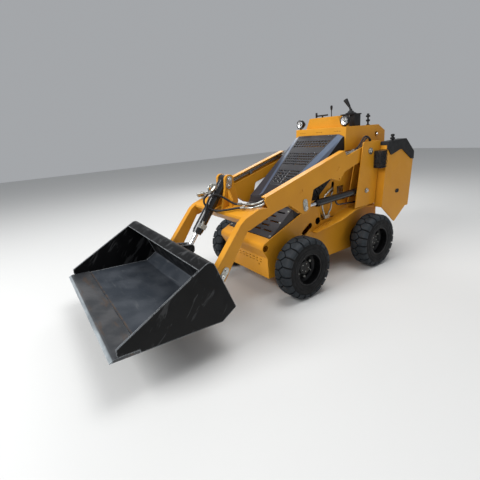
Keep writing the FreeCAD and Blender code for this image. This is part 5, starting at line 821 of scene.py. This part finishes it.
def screen_rows():
    """Each row's lower and upper edge, and whether it has holes."""
    rows = []
    low = WINDOW_LOW
    for middle, count in BANDS:
        levels = [middle + (k - count / 2) * ROW_PITCH for k in range(count + 1)]
        rows.append((low, levels[0], False))
        rows += [(near, far, True) for near, far in zip(levels, levels[1:])]
        low = levels[-1]
    rows.append((low, WINDOW_HIGH, False))
    return rows


def build_screen(finishes):
    """Perforated screen: three bands of square holes with cut corners, narrower towards the foot."""
    form = bmesh.new()

    def add_face(places):
        form.faces.new([form.verts.new(place) for place in places])

    for low, high, has_holes in screen_rows():
        middle = (low + high) / 2
        for k in range(COLUMNS):
            left, right = 2 * k / COLUMNS - 1, 2 * (k + 1) / COLUMNS - 1
            centre = (left + right) / 2
            shares, levels = (left, centre, right), (low, middle, high)
            cell = [screen_place(shares[a + 1], levels[b + 1]) for a, b in AROUND]
            if not has_holes:
                add_face(cell)
                continue
            wide, tall = (right - left) * HOLE_WIDE, (high - low) * HOLE_TALL
            hole = []
            for a, b in AROUND:
                pull = HOLE_CORNER if a and b else 1
                hole.append(screen_place(centre + a * wide * pull, middle + b * tall * pull))
            for i in range(len(AROUND)):
                j = (i + 1) % len(AROUND)
                add_face((cell[i], cell[j], hole[j], hole[i]))
    bmesh.ops.remove_doubles(form, verts=form.verts, dist=0.0001)
    bmesh.ops.recalc_face_normals(form, faces=form.faces)
    if sum(face.normal.z for face in form.faces) < 0:
        bmesh.ops.reverse_faces(form, faces=form.faces)
    mesh = mesh_from(form, "perforated_screen", False)
    piece = place_mesh("perforated_screen", mesh, finishes["screen"], "machine_frame")
    sheet = piece.modifiers.new("sheet", "SOLIDIFY")
    sheet.thickness = SCREEN_THICKNESS
    sheet.offset = -1
    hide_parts("hood_screen")


# Plugs in the wings' oval holes: place along the wing as a share of it, height, and the oval's half sizes
PLUG_SHARE = 0.485
PLUG_Z = 0.609
PLUG_FLAT_HALF = 0.011
PLUG_END_RADIUS = 0.0152
PLUG_STEPS = 32
# Rings of a plug: their size as a share of the hole, and how far out they lie
PLUG_RINGS = ((1.12, 0.4582), (1.12, 0.4598), (0.9, 0.4606), (0.8, 0.4594), (0.2, 0.459))


def build_wing_plugs(finishes):
    """Dark moulded plugs in the wings' oval holes."""
    low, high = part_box("wing_left")
    middle_y = low[1] + (high[1] - low[1]) * PLUG_SHARE
    for side_name, side in SIDES:
        form = bmesh.new()
        rings = []
        for size, x in PLUG_RINGS:
            ring = []
            for k in range(PLUG_STEPS):
                a = 2 * math.pi * k / PLUG_STEPS
                flat = math.copysign(PLUG_FLAT_HALF, math.cos(a))
                y = (flat + PLUG_END_RADIUS * math.cos(a)) * size
                z = PLUG_END_RADIUS * math.sin(a) * size
                ring.append(form.verts.new((side * x, middle_y + y, PLUG_Z + z)))
            rings.append(ring)
        bridge(form, rings)
        form.faces.new(rings[-1])
        place_form(form, "wing_plug_" + side_name, finishes["moulded_black"],
                   "machine_frame")


# Crumpled mesh: its distance from the box, cells along the two sides and up, and its strands' thickness
GUARD_GAP = 0.004
GUARD_COLUMNS = (7, 9)
GUARD_ROWS = 14
STRAND_THICKNESS = 0.0032


def crumple(i, j):
    """How far a crossing of the mesh is pushed out of its place."""
    return 0.0022 * math.sin(1.7 * i + 2.3 * j) + 0.0016 * math.sin(4.1 * i - 1.3 * j)


def build_guard_mesh(finishes):
    """Crumpled expanded metal round the box beside the left tower."""
    (x0, y0, z0), (x1, y1, z1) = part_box("guard_box")
    corners = [(x0, y0 - GUARD_GAP), (x1 + GUARD_GAP, y0 - GUARD_GAP), (x1 + GUARD_GAP, y1 + GUARD_GAP)]
    path = []
    for (ax, ay), (bx, by), count in zip(corners, corners[1:], GUARD_COLUMNS):
        path += [(ax + (bx - ax) * i / count, ay + (by - ay) * i / count) for i in range(count)]
    path.append(corners[-1])
    form = bmesh.new()
    sheet = []
    for i, (x, y) in enumerate(path):
        line = []
        shift = 0.25 if i % 2 else -0.25
        for j in range(GUARD_ROWS + 1):
            push = crumple(i, j)
            share = min(1, max(0, (j + shift) / GUARD_ROWS))
            line.append(form.verts.new((x + push, y - abs(push), z0 + (z1 - z0) * share)))
        sheet.append(line)
    for near, far in zip(sheet, sheet[1:]):
        for j in range(GUARD_ROWS):
            form.faces.new((near[j], far[j], far[j + 1], near[j + 1]))
    bmesh.ops.triangulate(form, faces=form.faces)
    piece = place_form(form, "guard_mesh", finishes["black_enamel"], "machine_frame",
                       smooth=False)
    wire = piece.modifiers.new("strands", "WIREFRAME")
    wire.thickness = STRAND_THICKNESS
    wire.use_replace = True


# Lock pin's head: where it sits, and its outline by radius and height
LOCK_PIN_PLACE = (0.2835, 1.097, 1.111)
LOCK_PIN_HEAD = ((0.011, 0.0), (0.011, 0.008), (0.0085, 0.011), (0.003, 0.0125))


def build_lock_pin(finishes):
    """Head of the console's lock pin."""
    form = bmesh.new()
    spun(form, LOCK_PIN_HEAD, LOCK_PIN_PLACE, (1, 0, 0), steps=28)
    place_form(form, "lock_pin_head", finishes["chrome_rod"], "machine_frame")


build_camera()
finishes = make_finishes()
build_hoses(finishes)
build_studio()
finish_frame(finishes)
build_tyres(finishes)
build_lamps(finishes)
build_fasteners(finishes)
build_wheel_nuts(finishes)
build_wing_plugs(finishes)
build_guard_mesh(finishes)
build_lock_pin(finishes)
build_screen(finishes)
build_pin_heads(finishes)
